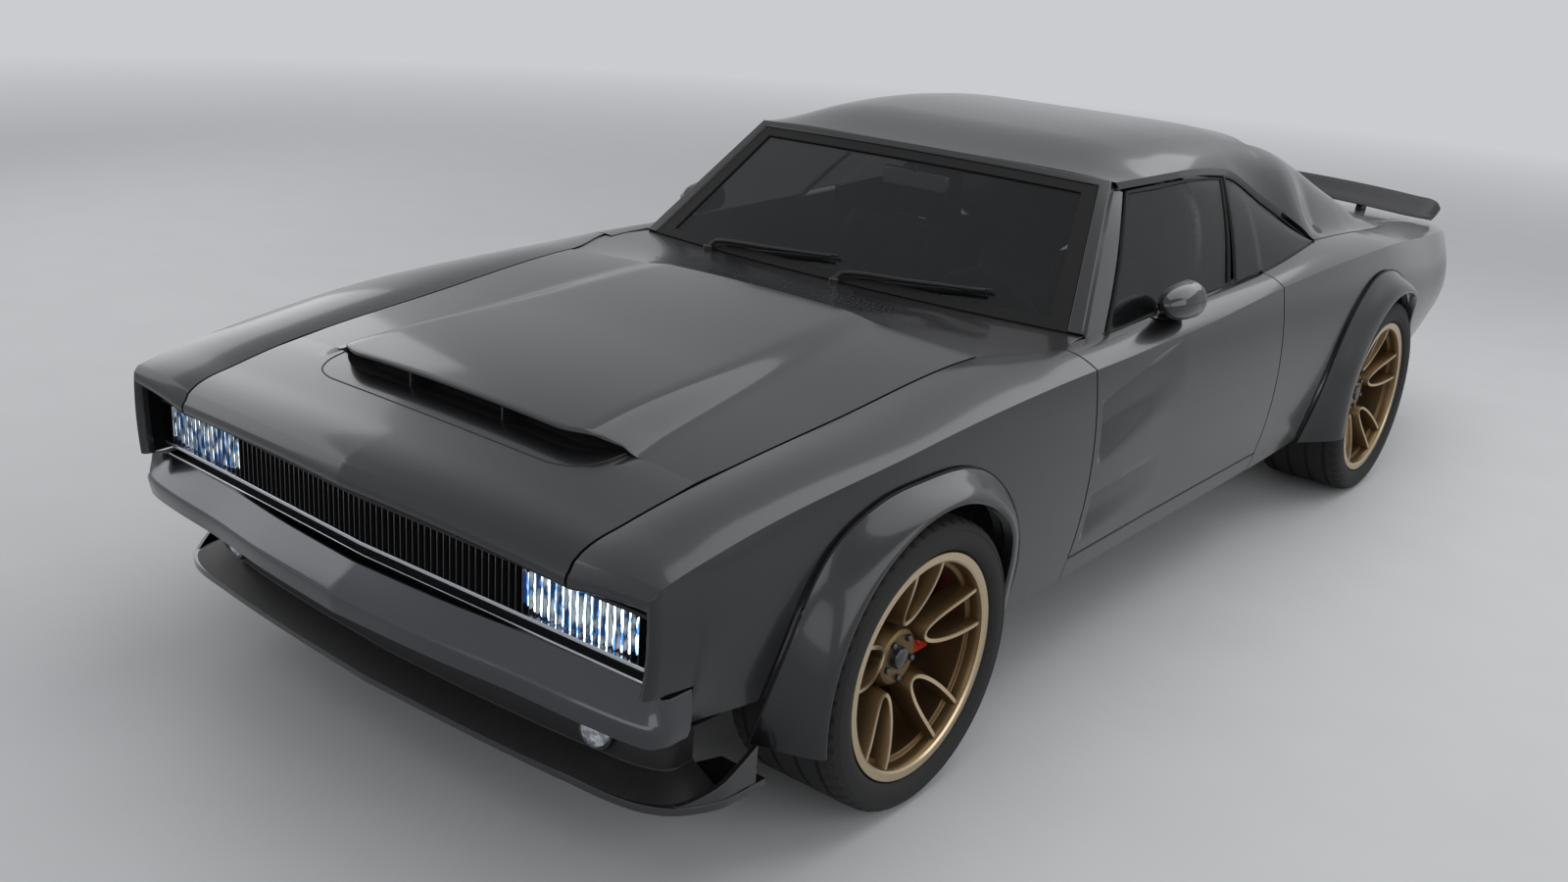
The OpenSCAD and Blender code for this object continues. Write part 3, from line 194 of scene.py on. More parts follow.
# %% Closed shells
def mesh_of(name, points, faces, tags=None):
    data = bpy.data.meshes.new(name)
    data.from_pydata((np.asarray(points, float) * MM).tolist(), [], faces)
    if tags is not None:
        data.polygons.foreach_set("material_index", np.asarray(tags, np.int32))
    work = bmesh.new()
    work.from_mesh(data)
    bmesh.ops.remove_doubles(work, verts=work.verts, dist=2e-6)
    bmesh.ops.dissolve_degenerate(work, edges=work.edges, dist=1e-6)
    bmesh.ops.recalc_face_normals(work, faces=work.faces)
    work.to_mesh(data)
    work.free()
    return data


def shell_faces(outer, inner, tag_outer=None, tag_inner=0):
    """Closed shell between two grids of points, with the material numbers of its faces."""
    n, m = outer.shape[:2]
    k = n * m
    g = np.arange(k).reshape(n, m)
    quads = np.stack([g[:-1, :-1], g[:-1, 1:], g[1:, 1:], g[1:, :-1]], -1).reshape(-1, 4)
    back = quads[:, ::-1] + k
    edge = np.concatenate([g[0, :], g[1:, -1], g[-1, -2::-1], g[-2:0:-1, 0]])
    after = np.roll(edge, -1)
    rim = np.stack([edge, after, after + k, edge + k], -1)
    tags = np.zeros(len(quads), int) if tag_outer is None else np.asarray(tag_outer).reshape(-1)
    tags = np.concatenate([tags, np.full(len(back), tag_inner), np.zeros(len(rim), int)])
    points = np.concatenate([outer.reshape(-1, 3), inner.reshape(-1, 3)])
    return points, np.concatenate([quads, back, rim]), tags


def shell(name, outer, inner, tag_outer=None, tag_inner=0):
    points, faces, tags = shell_faces(outer, inner, tag_outer, tag_inner)
    return mesh_of(name, points, faces.tolist(), tags)


def welded(name, *shells):
    """Shells that share a row of points made one: the two walls where they meet go away."""
    starts = np.cumsum([0] + [len(s[0]) for s in shells])
    every = np.round(np.concatenate([s[0] for s in shells]), 3)
    points, first = np.unique(every, axis=0, return_inverse=True)
    faces = first.ravel()[np.concatenate([s[1] + start for s, start in zip(shells, starts)])]
    tags = np.concatenate([s[2] for s in shells])
    _, group, count = np.unique(np.sort(faces, 1), axis=0, return_inverse=True, return_counts=True)
    lone = count[group.ravel()] == 1
    return mesh_of(name, points, faces[lone].tolist(), tags[lone])


corners = np.zeros((2, 2, 3))
print("faces of the smallest shell:", len(shell_faces(corners, corners)[1]))


# %% [markdown]
# Bars, pipes and round parts are skins over a row of closed rings. The rings can follow a path, which
# gives a tube, go round an axis, as on a lathe, or be one flat outline pushed along an axis. All of these
# return plain points and faces, so that many small parts can be joined before they become one mesh.


# %% Lofts, tubes, turned parts and prisms
def loft(rings, closed_path=False):
    """Points and faces of a skin over a list of closed rings."""
    rings = np.asarray(rings, float)
    n, m = rings.shape[:2]
    g = np.arange(n * m).reshape(n, m)
    last = n if closed_path else n - 1
    faces = []
    for i in range(last):
        a, b = g[i], g[(i + 1) % n]
        faces += np.stack([a, np.roll(a, -1), np.roll(b, -1), b], -1).tolist()
    if not closed_path:
        faces += [g[0, ::-1].tolist(), g[-1].tolist()]
    return rings.reshape(-1, 3), faces


def tube_rings(path, radius, sides=12):
    path = np.asarray(path, float)
    ahead = unit(np.gradient(path, axis=0))
    up = np.where(np.abs(ahead[:, 2:3]) < 0.9, [[0, 0, 1.0]], [[0, 1.0, 0]])
    a = unit(np.cross(ahead, up))
    b = np.cross(ahead, a)
    turn = np.linspace(0, 2 * math.pi, sides, endpoint=False)
    radius = np.broadcast_to(radius, len(path))
    return (path[:, None] + radius[:, None, None]
            * (np.cos(turn)[None, :, None] * a[:, None] + np.sin(turn)[None, :, None] * b[:, None]))


def turned_rings(profile, centre, axis="x", count=96, flip=1):
    """Rings round an axis. Profile rows: radius, distance along the axis."""
    turn = np.linspace(0, 2 * math.pi, count, endpoint=False)
    r, d = np.asarray(profile, float).T
    cos, sin = np.cos(turn)[:, None] * r, np.sin(turn)[:, None] * r
    along = np.broadcast_to(d * flip, cos.shape)
    parts = {"x": (along, cos, sin), "y": (cos, along, sin), "z": (cos, sin, along)}[axis]
    return np.stack(parts, -1) + np.asarray(centre, float)


def turned(profile, centre, axis, count=64, flip=1):
    """A turned piece with closed ends."""
    return loft(turned_rings(profile, centre, axis, count, flip).transpose(1, 0, 2))


def turned_ring(profile, axis="x", count=96):
    """A turned piece with a hole through it, round an axis at the origin."""
    return loft(turned_rings(profile, (0, 0, 0), axis, count), closed_path=True)


def rotated(points, axis, angle):
    """Points turned round an axis through the origin."""
    cos, sin = math.cos(angle), math.sin(angle)
    i, j = {"x": (1, 2), "z": (0, 1)}[axis]
    turn = np.eye(3)
    turn[[i, i, j, j], [i, j, i, j]] = cos, -sin, sin, cos
    return points @ turn.T


def joined(parts):
    """One list of points and faces from several."""
    points, faces, base = [], [], 0
    for p, f in parts:
        points.append(p)
        faces += [[base + i for i in face] for face in f]
        base += len(p)
    return np.concatenate(points), faces


def prism(outline, low, high, axis="z"):
    """A flat outline of two-number points, pushed from low to high along an axis."""
    outline = np.asarray(outline, float)

    def level(h):
        h = np.full(len(outline), h)
        a, b = outline.T
        return np.stack({"z": (a, b, h), "y": (a, h, b), "x": (h, a, b)}[axis], -1)

    return loft([level(low), level(high)])


def block(low, high):
    (x0, y0, z0), (x1, y1, z1) = low, high
    return prism([(x0, y0), (x1, y0), (x1, y1), (x0, y1)], z0, z1)


print("faces of a block:", len(block((0, 0, 0), (1, 1, 1))[1]))


# %% [markdown]
# The car is the same on both sides, so a piece is drawn once, on the left, and mirrored. A line that
# crosses the car is given by one half and its middle point.

# %% Left and right
SIDES = (("left", 1), ("right", -1))


def on_side(points, turn):
    """Points of the left side as they are, with turn 1, or mirrored to the right, with turn -1."""
    return np.asarray(points, float) * [turn, 1, 1]


def both(part):
    """A part and its mirror image."""
    points, faces = part
    return joined([part, (on_side(points, -1), [f[::-1] for f in faces])])


def across_car(half, middle):
    """A flat line from right to left through a middle point, given by the points of its left half."""
    half = np.asarray(half, float)
    return np.concatenate([half * [-1, 1], [middle], half[::-1]])


print("a short line across the car:", across_car([(2, 0), (1, 3)], (0, 4)).tolist())


# %% [markdown]
# Every visible thing goes through one function. It makes the object, smooths it up to a crease angle,
# says which body it rides on and hides the solids that it stands for. A narrow bevel on each sharp edge
# catches the light the way a folded sheet edge does.

# %% Putting a piece on the car
made = {}


def piece(name, data, finish, body="body", replaces=(), bevel=0.0, crease=34, segments=2):
    finishes = finish if isinstance(finish, (list, tuple)) else [finish]
    if isinstance(data, tuple):
        data = mesh_of(name, *data)
    for m in finishes:
        data.materials.append(m)
    data.shade_smooth()
    data.set_sharp_from_angle(angle=math.radians(crease))
    obj = bpy.data.objects.new(name, data)
    bpy.context.scene.collection.objects.link(obj)
    if bevel:
        edge = obj.modifiers.new("edge", "BEVEL")
        edge.width = bevel * MM
        edge.segments = segments
        edge.limit_method = "ANGLE"
        edge.angle_limit = math.radians(crease)
    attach(obj, body)
    if replaces:
        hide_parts(*([replaces] if isinstance(replaces, str) else replaces))
    made[name] = len(data.polygons)
    return obj


def report(*names):
    print("made", ", ".join(f"{n} ({made[n]} faces)" for n in names))


print("solids to dress:", len(frame["nodes"]))


# %% [markdown]
# ## Finishes
# The paint is a dark charcoal metallic under a thin, slightly satin clear coat. On the real panel tiny
# flakes break up the highlight, so the base colour and the roughness carry a very fine noise. A plain
# colour would look like plastic. The other finishes follow the same plan: one shader, its own grain at
# the right scale, and roughness that varies.


# %% A shader with its grain
def shader(name, slot, **sockets):
    mat = bpy.data.materials.new(name)
    mat.use_nodes = True
    tree = mat.node_tree
    bsdf = tree.nodes["Principled BSDF"]
    for key, value in sockets.items():
        bsdf.inputs[key.replace("_", " ")].default_value = value
    return mat, tree, bsdf


def grain(tree, scale, detail, stretch=None):
    """Noise in the car's own metres."""
    place = tree.nodes.new("ShaderNodeTexCoord")
    source = place.outputs["Object"]
    if stretch:
        mapping = tree.nodes.new("ShaderNodeMapping")
        mapping.inputs["Scale"].default_value = stretch
        tree.links.new(source, mapping.inputs["Vector"])
        source = mapping.outputs["Vector"]
    noise = tree.nodes.new("ShaderNodeTexNoise")
    noise.inputs["Scale"].default_value = scale
    noise.inputs["Detail"].default_value = detail
    tree.links.new(source, noise.inputs["Vector"])
    return noise


def spread(tree, source, low, high, start=0.3, end=0.7):
    """Turns a grey texture into a number between low and high."""
    node = tree.nodes.new("ShaderNodeMapRange")
    node.inputs["From Min"].default_value = start
    node.inputs["From Max"].default_value = end
    node.inputs["To Min"].default_value = low
    node.inputs["To Max"].default_value = high
    tree.links.new(source, node.inputs["Value"])
    return node.outputs["Result"]


def two_colours(tree, source, dark, light, start=0.35, end=0.65):
    node = tree.nodes.new("ShaderNodeValToRGB")
    node.color_ramp.elements[0].position = start
    node.color_ramp.elements[0].color = (*dark, 1)
    node.color_ramp.elements[1].position = end
    node.color_ramp.elements[1].color = (*light, 1)
    tree.links.new(source, node.inputs["Fac"])
    return node.outputs["Color"]


BUMP_STRENGTH = 0.35


def bump(tree, bsdf, source, distance):
    node = tree.nodes.new("ShaderNodeBump")
    node.inputs["Strength"].default_value = BUMP_STRENGTH
    node.inputs["Distance"].default_value = distance
    tree.links.new(source, node.inputs["Height"])
    tree.links.new(node.outputs["Normal"], bsdf.inputs["Normal"])


def grained(name, slot, dark, light, rough, scale, bump_size=0.0, detail=3.0, stretch=None, **sockets):
    """A finish whose colour, roughness and surface all follow one noise."""
    mat, tree, bsdf = shader(name, slot, **sockets)
    noise = grain(tree, scale, detail, stretch)
    tree.links.new(two_colours(tree, noise.outputs["Fac"], dark, light), bsdf.inputs["Base Color"])
    tree.links.new(spread(tree, noise.outputs["Fac"], *rough), bsdf.inputs["Roughness"])
    if bump_size:
        bump(tree, bsdf, noise.outputs["Fac"], bump_size)
    return mat


print("strength of every bump:", BUMP_STRENGTH)


# %% [markdown]
# Outside, the car wears few finishes: charcoal paint, a slightly lighter metallic on the bumpers, gloss
# and satin black, and rubber. Black in the real world is never zero, so each keeps a little grey.

# %% Paint, trim and rubber
charcoal = grained("charcoal_paint", "body_paint", (0.020, 0.0205, 0.022), (0.032, 0.0328, 0.0355),
                   (0.26, 0.34), 2600, detail=1.0, Metallic=0.72, Coat_Weight=0.55, Coat_Roughness=0.09)
bumper_paint = grained("bumper_paint", "bumper_metal", (0.050, 0.053, 0.060), (0.068, 0.072, 0.082),
                       (0.16, 0.24), 2200, detail=1.0, Metallic=0.85, Coat_Weight=0.5, Coat_Roughness=0.06)
black_gloss = grained("gloss_black", "mirror_shell", (0.010, 0.010, 0.011), (0.016, 0.016, 0.018),
                      (0.10, 0.17), 900, Coat_Weight=0.5, Coat_Roughness=0.05)
black_satin = grained("satin_black", "black_trim", (0.010, 0.010, 0.011), (0.019, 0.019, 0.020),
                      (0.40, 0.56), 420, bump_size=0.00015, Specular_IOR_Level=0.3)
# This black is darker than a real one: it is painted shade. It stands in holes, vents and the intake, on the
# line round the intake's plate and on the wall behind the grille, which is black as well.
black_and_painted_shade = grained("black_with_painted_shade", "black_trim", (0.004, 0.004, 0.0045), (0.008, 0.008, 0.009),
                      (0.6, 0.8), 300, bump_size=0.0002)
rubber = grained("tyre_rubber", "tyre_rubber", (0.014, 0.014, 0.0145), (0.025, 0.025, 0.026),
                 (0.62, 0.82), 260, bump_size=0.0003, Specular_IOR_Level=0.25)
seal_rubber = grained("seal_rubber", "black_trim", (0.008, 0.008, 0.008), (0.014, 0.014, 0.014),
                      (0.5, 0.68), 350, bump_size=0.0002, Specular_IOR_Level=0.15)

# %% [markdown]
# The metals differ mostly in colour and grain: bronze for the wheels with a brighter machined edge, cast
# iron and steel below, and tubes and discs whose grain is stretched along the way they were drawn or
# turned.

# %% Metals
bright_trim = grained("bright_trim", "bumper_metal", (0.50, 0.52, 0.55), (0.64, 0.66, 0.70),
                      (0.14, 0.26), 500, Metallic=1.0)
bronze = grained("bronze_alloy", "bronze_alloy", (0.135, 0.088, 0.042), (0.185, 0.122, 0.060),
                 (0.32, 0.44), 1800, detail=1.0, Metallic=0.9)
bronze_edge = grained("bronze_edge", "bronze_alloy", (0.52, 0.41, 0.27), (0.62, 0.50, 0.34),
                      (0.22, 0.32), 1200, Metallic=1.0)
gunmetal = grained("gunmetal", "cast_steel", (0.06, 0.06, 0.062), (0.10, 0.10, 0.105),
                   (0.35, 0.5), 180, bump_size=0.0004, Metallic=0.9)
cast_metal = grained("cast_metal", "cast_steel", (0.16, 0.16, 0.165), (0.26, 0.26, 0.27),
                     (0.45, 0.65), 120, bump_size=0.0008, Metallic=0.8)
machined = grained("machined_iron", "bronze_alloy", (0.34, 0.34, 0.35), (0.46, 0.46, 0.47),
                   (0.25, 0.42), 700, stretch=(0.05, 1, 1), Metallic=1.0)
tube_steel = grained("tube_steel", "bright_tube", (0.36, 0.36, 0.37), (0.50, 0.50, 0.52),
                     (0.24, 0.40), 90, stretch=(1, 0.15, 1), Metallic=1.0)
exhaust_steel = grained("exhaust_steel", "bright_tube", (0.30, 0.27, 0.23), (0.44, 0.41, 0.37),
                        (0.30, 0.5), 30, Metallic=1.0)
underbody = grained("underbody_coat", "underbody", (0.012, 0.012, 0.013), (0.024, 0.024, 0.025),
                    (0.6, 0.8), 140, bump_size=0.001)
caliper_red = grained("caliper_red", "cast_steel", (0.42, 0.012, 0.008), (0.56, 0.022, 0.014),
                      (0.22, 0.34), 260, bump_size=0.0003, Coat_Weight=0.4, Coat_Roughness=0.1)

# %% [markdown]
# Inside, leather shines a little, suede has a soft sheen at grazing angles and carpet swallows the light.

# %% Cabin finishes
leather = grained("seat_leather", "cabin_trim", (0.016, 0.016, 0.017), (0.030, 0.030, 0.031),
                  (0.48, 0.64), 420, bump_size=0.0006)
suede = grained("dark_suede", "cabin_trim", (0.020, 0.020, 0.021), (0.034, 0.034, 0.036),
                (0.85, 0.95), 900, bump_size=0.0004, Sheen_Weight=0.5)
carpet = grained("floor_carpet", "cabin_trim", (0.008, 0.008, 0.009), (0.018, 0.018, 0.019),
                 (0.9, 1.0), 700, bump_size=0.0015)

# %% [markdown]
# The windows are deeply tinted. A transmission shader would be truer, but a half-clear dark surface keeps
# the cabin faintly visible, mirrors the studio and renders without noise. The lamps are lit lenses: a
# stretched noise gives the streaks of ribbed glass, and it colours both the glow and the surface.


# %% Glass and lamps
def tinted(name, slot, colour, rough, alpha):
    mat, tree, bsdf = shader(name, slot, IOR=1.45, Alpha=alpha)
    noise = grain(tree, 6, 1.0)
    dark = tuple(0.85 * c for c in colour)
    tree.links.new(two_colours(tree, noise.outputs["Fac"], dark, colour), bsdf.inputs["Base Color"])
    tree.links.new(spread(tree, noise.outputs["Fac"], rough, rough + 0.02), bsdf.inputs["Roughness"])
    return mat


def glowing(name, slot, dark, light, strength, stretch):
    """A lit lens: bright streaks on a darker ground."""
    mat, tree, bsdf = shader(name, slot, Roughness=0.12, Emission_Strength=strength, Coat_Weight=1.0)
    noise = grain(tree, 1.0, 3.0, stretch)
    colour = two_colours(tree, noise.outputs["Fac"], dark, light, 0.42, 0.60)
    tree.links.new(colour, bsdf.inputs["Emission Color"])
    tree.links.new(colour, bsdf.inputs["Base Color"])
    return mat


window_glass = tinted("tinted_glass", "tinted_glass", (0.010, 0.011, 0.012), 0.01, 0.55)
lamp_glow = glowing("lamp_glow", "lamp_lens", (0.03, 0.10, 0.28), (0.78, 0.91, 1.0), 4.5, (110, 30, 26))
fog_glow = glowing("fog_lens", "lamp_lens", (0.16, 0.18, 0.20), (0.52, 0.55, 0.58), 0.12, (60, 60, 60))
tail_red = glowing("tail_lens", "red_lens", (0.16, 0.004, 0.003), (0.55, 0.015, 0.01), 0.25, (160, 20, 160))
mirror_glass = grained("mirror_glass", "mirror_shell", (0.70, 0.72, 0.74), (0.78, 0.80, 0.82),
                       (0.02, 0.04), 40, Metallic=1.0)

# %% [markdown]
# ## The body's section lines
# On the real car a sharp crest runs along the top of each side, from the headlamps to the tail, and the
# side below it bows out and tucks in to the sill. The tables give, station by station, how far each line
# lies inside the widest point and how high it is.

# %% Section tables
deck_inset = half_w - lid_half - shut_gap
# Columns: place, then inset and height of the belt, the crest, the side and the sill, and the top's crown
body_rows = [
    [nose_y, 303, 706, 80, 732, 73, 610, 85, 512, 5],
    [nose_y + 45, 301, 738, 78, 745, 68, 610, 80, 512, 6],
    [nose_y + 150, 295, 765, 71, 768, 54, 610, 68, 508, 9],
    [axle_f - 464, 285, 797, 61, 796, 38, 600, 60, 430, 12],
    [axle_f, 267, 850, 30, 846, 15, 600, 50, 330, 14],
    [bonnet_rear, 242, 903, 34, 870, 13, 600, 57, 285, 12],
    [door_front, 145, 905, 35, 873, 13, 600, 60, 280, 9],
    [door_front + 172, 126, 906, 38, 872, 14, 600, 61, 280, 9],
    [door_front + 510, 129, 915, 46, 872, 19, 600, 63, 280, 9],
    [door_rear, 129, 938, 43, 906, 13, 600, 60, 285, 9],
    [axle_r - 390, 175, 966, 37, 922, 0, 600, 55, 310, 9],
    [axle_r, 250, 948, 45, 918, 0, 600, 55, 340, 9],
    [axle_r + 190, deck_inset, 926, 58, 908, 4, 600, 60, 355, 9],
    [axle_r + 360, deck_inset, 908, 74, 893, 12, 600, 66, 370, 9],
    [axle_r + 700, deck_inset, 884, 110, 862, 46, 590, 94, 410, 9],
    [tail_bend, deck_inset, 854, 155, 832, 104, 580, 124, 508, 9],
    [tail_y, deck_inset, 838, 190, 813, 150, 575, 168, 512, 9],
]
# Columns: place, the roof rail's half width, its drop below the roof's height
rail_rows = [
    [door_front + 545, 648, 100], [door_front + 940, 652, 100], [door_rear + 66, 648, 124],
    [door_rear + 290, 690, 220], [axle_r - 400, 792, 376],
]
# Columns: place, the drop of the roof's middle line
roof_rows = [
    [door_front + 545, 84], [door_front + 826, 17], [door_front + 1136, 0], [door_rear + 186, 10],
    [door_rear + 400, 38],
]
# Columns: place, half width and drop of the ridge and of the inner foot, half width of the outer foot
pillar_rows = [
    [door_rear + 120, 560, 50, 552, 74, 660], [door_rear + 340, 570, 62, 562, 86, 705],
    [door_rear + 400, 574, 71, 566, 95, 712], [axle_r - 400, 603, 112, 576, 166, half_w - 172],
    [axle_r, 652, 265, 624, 345, half_w - 185], [axle_r + 190, 672, 335, 652, 398, half_w - 205],
    [axle_r + 360, 684, 400, 654, 432, half_w - 225], [axle_r + 660, 697, 458, 656, 461, half_w - 255],
]
roof_y0, roof_y1 = door_front + 545, door_rear + 400
pillar_y0, pillar_y1 = door_rear + 120, axle_r + 660
print("section stations:", len(body_rows))

# %% [markdown]
# Each line gets a function of its own, so that the panels below can ask for the belt or the crest at any
# place. The side between crest and sill is a parabola through three of the table's points.


# %% Lines of the body
def belt_x(y):
    return half_w - at(body_rows, 1, y)


def belt_z(y):
    return at(body_rows, 2, y)


def crest_x(y):
    return half_w - at(body_rows, 3, y)


def crest_z(y):
    return at(body_rows, 4, y)


def sill_z(y):
    return at(body_rows, 8, y)


def side_x(y, z):
    """The side's bow: a parabola through the crest, the side and the sill."""
    z0, z1, z2 = crest_z(y), at(body_rows, 6, y), sill_z(y)
    x0, x1, x2 = crest_x(y), half_w - at(body_rows, 5, y), half_w - at(body_rows, 7, y)
    return (x0 * (z - z1) * (z - z2) / ((z0 - z1) * (z0 - z2))
            + x1 * (z - z0) * (z - z2) / ((z1 - z0) * (z1 - z2))
            + x2 * (z - z0) * (z - z1) / ((z2 - z0) * (z2 - z1)))


def top_z(x, y):
    t = (x - belt_x(y)) / (crest_x(y) - belt_x(y))
    return mix(belt_z(y), crest_z(y), t) + 4 * at(body_rows, 9, y) * t * (1 - t)


def rail_x(y):
    return at(rail_rows, 1, y)


def rail_z(y):
    return roof_height - at(rail_rows, 2, y)


def pillar(column, y):
    return at(pillar_rows, column, y)


def pillar_down(column, y):
    return roof_height - at(pillar_rows, column, y)


def arch_bottom(y, wheel_y, wheel_z, r):
    inside = np.abs(y - wheel_y) < r
    return np.where(inside, wheel_z + np.sqrt(np.maximum(r * r - (y - wheel_y) ** 2, 0)), 0)


def side_bottom(y):
    behind_bumper = (y > notch_y) & (y < axle_f)
    low = np.where(behind_bumper, np.minimum(sill_z(y), skirt_z), sill_z(y))
    front = arch_bottom(y, axle_f, front_wheel_z, fender_cut)
    rear = arch_bottom(y, axle_r, rear_wheel_z, quarter_cut)
    return np.maximum(low, np.maximum(front, rear))


door_crest = [round(float(line(door_front))) for line in (crest_x, crest_z)]
print("crest at the doors, out and up:", door_crest, "mm")

# %% [markdown]
# ## Fenders, doors and quarters
# Each side is one sweep of sections, cut at the shut lines. A fine grid along the crest keeps its
# highlight sharp. The wheel openings could be cut with a boolean, which leaves ragged faces. Here each
# section simply ends on the opening's circle.

# %% Side sections
TOP_STEPS, SIDE_STEPS = 10, 40


def side_profile(y, side_z):
    """Sections at all the places y: across the top from belt to crest, then down the heights side_z."""
    y = np.asarray(y, float)[:, None]
    top_x = mix(belt_x(y), crest_x(y), np.linspace(0, 1, TOP_STEPS + 1)[None])
    x = np.concatenate([top_x, side_x(y, side_z)], 1)
    return np.stack([x, np.broadcast_to(y, x.shape), np.concatenate([top_z(top_x, y), side_z], 1)], -1)


def plain_profile(y):
    down = np.linspace(0, 1, SIDE_STEPS + 1)[None, 1:] ** 1.15
    return side_profile(y, mix(crest_z(y)[:, None], side_bottom(y)[:, None], down))


def side_back(grid):
    """The inner face: the top moves down, the side moves in."""
    back = grid.copy()
    t = np.minimum(np.arange(grid.shape[1]) / TOP_STEPS, 1)
    crest = grid[:, TOP_STEPS:TOP_STEPS + 1, 2]
    back[..., 0] -= sheet * t
    back[:, :TOP_STEPS + 1, 2] -= sheet
    back[:, TOP_STEPS + 1:, 2] = np.minimum(back[:, TOP_STEPS + 1:, 2], crest - sheet)
    return back


def arch_marks(wheel_y, r, count=33):
    return wheel_y - r * np.cos(np.linspace(0, math.pi, count))


print("points in a side section:", TOP_STEPS + SIDE_STEPS + 1)

# %% [markdown]
# The fender's nose rolls in round the grille opening. A few more rows, each a little further back and
# drawn in a little more, make that round edge. The bonnet's lip uses the same rows, so that the two run
# on in one line.

# %% Fender
NOSE_FOLD = [(26, 44), (15, 43), (6, 38), (1, 29), (0, 18), (4, 8), (10, 2)]  # rows: back, drawn in
nose_back = 30
narrowing = 0.62
arch_room = 6


def nose_row(back, depth):
    """The nose's section drawn in by depth: its top moves down and its side moves in, a little less."""
    row = plain_profile(np.array([nose_y]))[0]
    top = np.arange(len(row)) <= TOP_STEPS
    corner = crest_x(nose_y) - narrowing * depth
    row[:, 0] = np.where(top, np.minimum(row[:, 0], corner), row[:, 0] - narrowing * depth)
    row[:, 2] = np.where(top, top_z(row[:, 0], nose_y) - depth,
                         np.minimum(row[:, 2], top_z(corner, nose_y) - depth))
    row[:, 1] = nose_y + back
    return row


fender_y = np.concatenate([
    nose_y + np.array([18, 26, 35]), spaced(nose_y + 45, notch_y),
    spaced(notch_y + 3, axle_f - fender_cut - arch_room), arch_marks(axle_f, fender_cut - 0.01),
    spaced(axle_f + fender_cut + arch_room, bonnet_rear, door_front - shut_gap)])
fender_skin = plain_profile(fender_y)
fender_back = side_back(fender_skin)
fender_back[..., 1] = np.maximum(fender_back[..., 1], nose_y + nose_back)
fender_grid = np.concatenate([[nose_row(*fold) for fold in NOSE_FOLD], fender_skin])
nose_inner = [nose_row(nose_back, max(depth, sheet)) for _, depth in NOSE_FOLD]
fender_inner = np.concatenate([nose_inner, fender_back])
print("fender grid", fender_grid.shape[:2])

# %% [markdown]
# The quarter is a plain sweep too. Its tail leans: the lower a point lies, the further it is moved
# forward, so that the tail overhangs the bumper.

# %% Quarter
tuck, tuck_top, tuck_high = 120, 830, 320
quarter_y = np.concatenate([
    spaced(door_rear + shut_gap, axle_r - quarter_cut - arch_room), arch_marks(axle_r, quarter_cut - 0.01),
    spaced(axle_r + quarter_cut + arch_room, axle_r + 700, tail_bend, tail_y)])
quarter_grid = plain_profile(quarter_y)
tail_share = np.clip((quarter_y - tail_bend) / (tail_y - tail_bend), 0, 1)[:, None]
tuck_share = np.clip((tuck_top - quarter_grid[..., 2]) / tuck_high, 0, 1) ** 1.4
quarter_grid[..., 1] -= tail_share * tuck * tuck_share
print("quarter grid", quarter_grid.shape[:2])

# %% [markdown]
# Behind its front edge the door has two long, wedge-shaped scallops, deep in front and fading towards the
# rear. They could be sculpted. Here the grid gets rows along their edges and the points between are
# pushed in, which keeps the upper edges crisp. The door's inner face is suede, and narrows so that the
# door can swing.

# %% Door with its scallops
edge_wide = 10
scallop_y = door_front + 34
door_y = spaced(door_front, scallop_y - 4, scallop_y + 8, door_front + 172, door_front + 510, door_rear,
                step=11)
upper_run = np.clip((door_y - scallop_y) / 520, 0, 1)
lower_run = np.clip((door_y - scallop_y) / 400, 0, 1)
upper_top = mix(783, crest_z(door_y) - 5, upper_run ** 0.9)
# Columns: upper edge, lower edge, how far along, depth
scallops = [(upper_top, mix(605, 690, upper_run), upper_run, 30),
            (mix(530, 556, lower_run), mix(385, 430, lower_run), lower_run, 22)]
marks, counts = [crest_z(door_y)], []
for top, low, _, _ in scallops:
    marks += [top, top - edge_wide, low]
    counts += [8, 4, 16]
marks.append(np.full(len(door_y), sill_top + shut_gap))
counts.append(5)
door_z = np.concatenate([mix(a[:, None], b[:, None], np.linspace(0, 1, n + 1)[None, 1:])
                         for a, b, n in zip(marks, marks[1:], counts)], 1)
door_grid = side_profile(door_y, door_z)
door_bottom = door_grid[:, -1].copy()
for top, low, run, depth in scallops:
    z = door_grid[:, TOP_STEPS + 1:, 2]
    under_edge = smooth((top[:, None] - z) / edge_wide)
    above_low = smooth((z - low[:, None]) / (0.55 * (top - low))[:, None])
    fade = (1 - run) ** 1.3 * smooth((door_y - scallop_y + 4) / 12)
    door_grid[:, TOP_STEPS + 1:, 0] -= depth * under_edge * above_low * fade[:, None]


def door_back(grid):
    n = grid.shape[1] - 1
    t = (np.arange(n + 1) / n)[None]
    y = grid[:, :1, 1]
    back = np.empty_like(grid)
    back[..., 0] = mix(belt_x(y) - 28, door_bottom[:, None, 0] - 110, t)
    back[..., 1] = y - 45 * smooth((y - door_rear + 120) / 120)
    back[..., 2] = mix(belt_z(y) - 2, door_bottom[:, None, 2], t)
    return back


print("door grid", door_grid.shape[:2])

# %% [markdown]
# The three grids become panels on both sides. Fender and quarter belong to the body. The door rides on a
# body of its own, and its inner face takes the second material.

# %% Panels of both sides
quarter_inner, door_inner = side_back(quarter_grid), door_back(door_grid)
for side, turn in SIDES:
    for name, outer, inner, finish, inner_tag, rider in (
            ("fender", fender_grid, fender_inner, charcoal, 0, "body"),
            ("quarter", quarter_grid, quarter_inner, charcoal, 0, "body"),
            ("door", door_grid, door_inner, [charcoal, suede], 1, f"door_{side[0]}")):
        skin = shell(name, on_side(outer, turn), on_side(inner, turn), None, inner_tag)
        piece(f"skin_{name}_{side}", skin, finish, body=rider, replaces=f"{name}_{side}", bevel=2.5)
report("skin_fender_left", "skin_quarter_left", "skin_door_left")

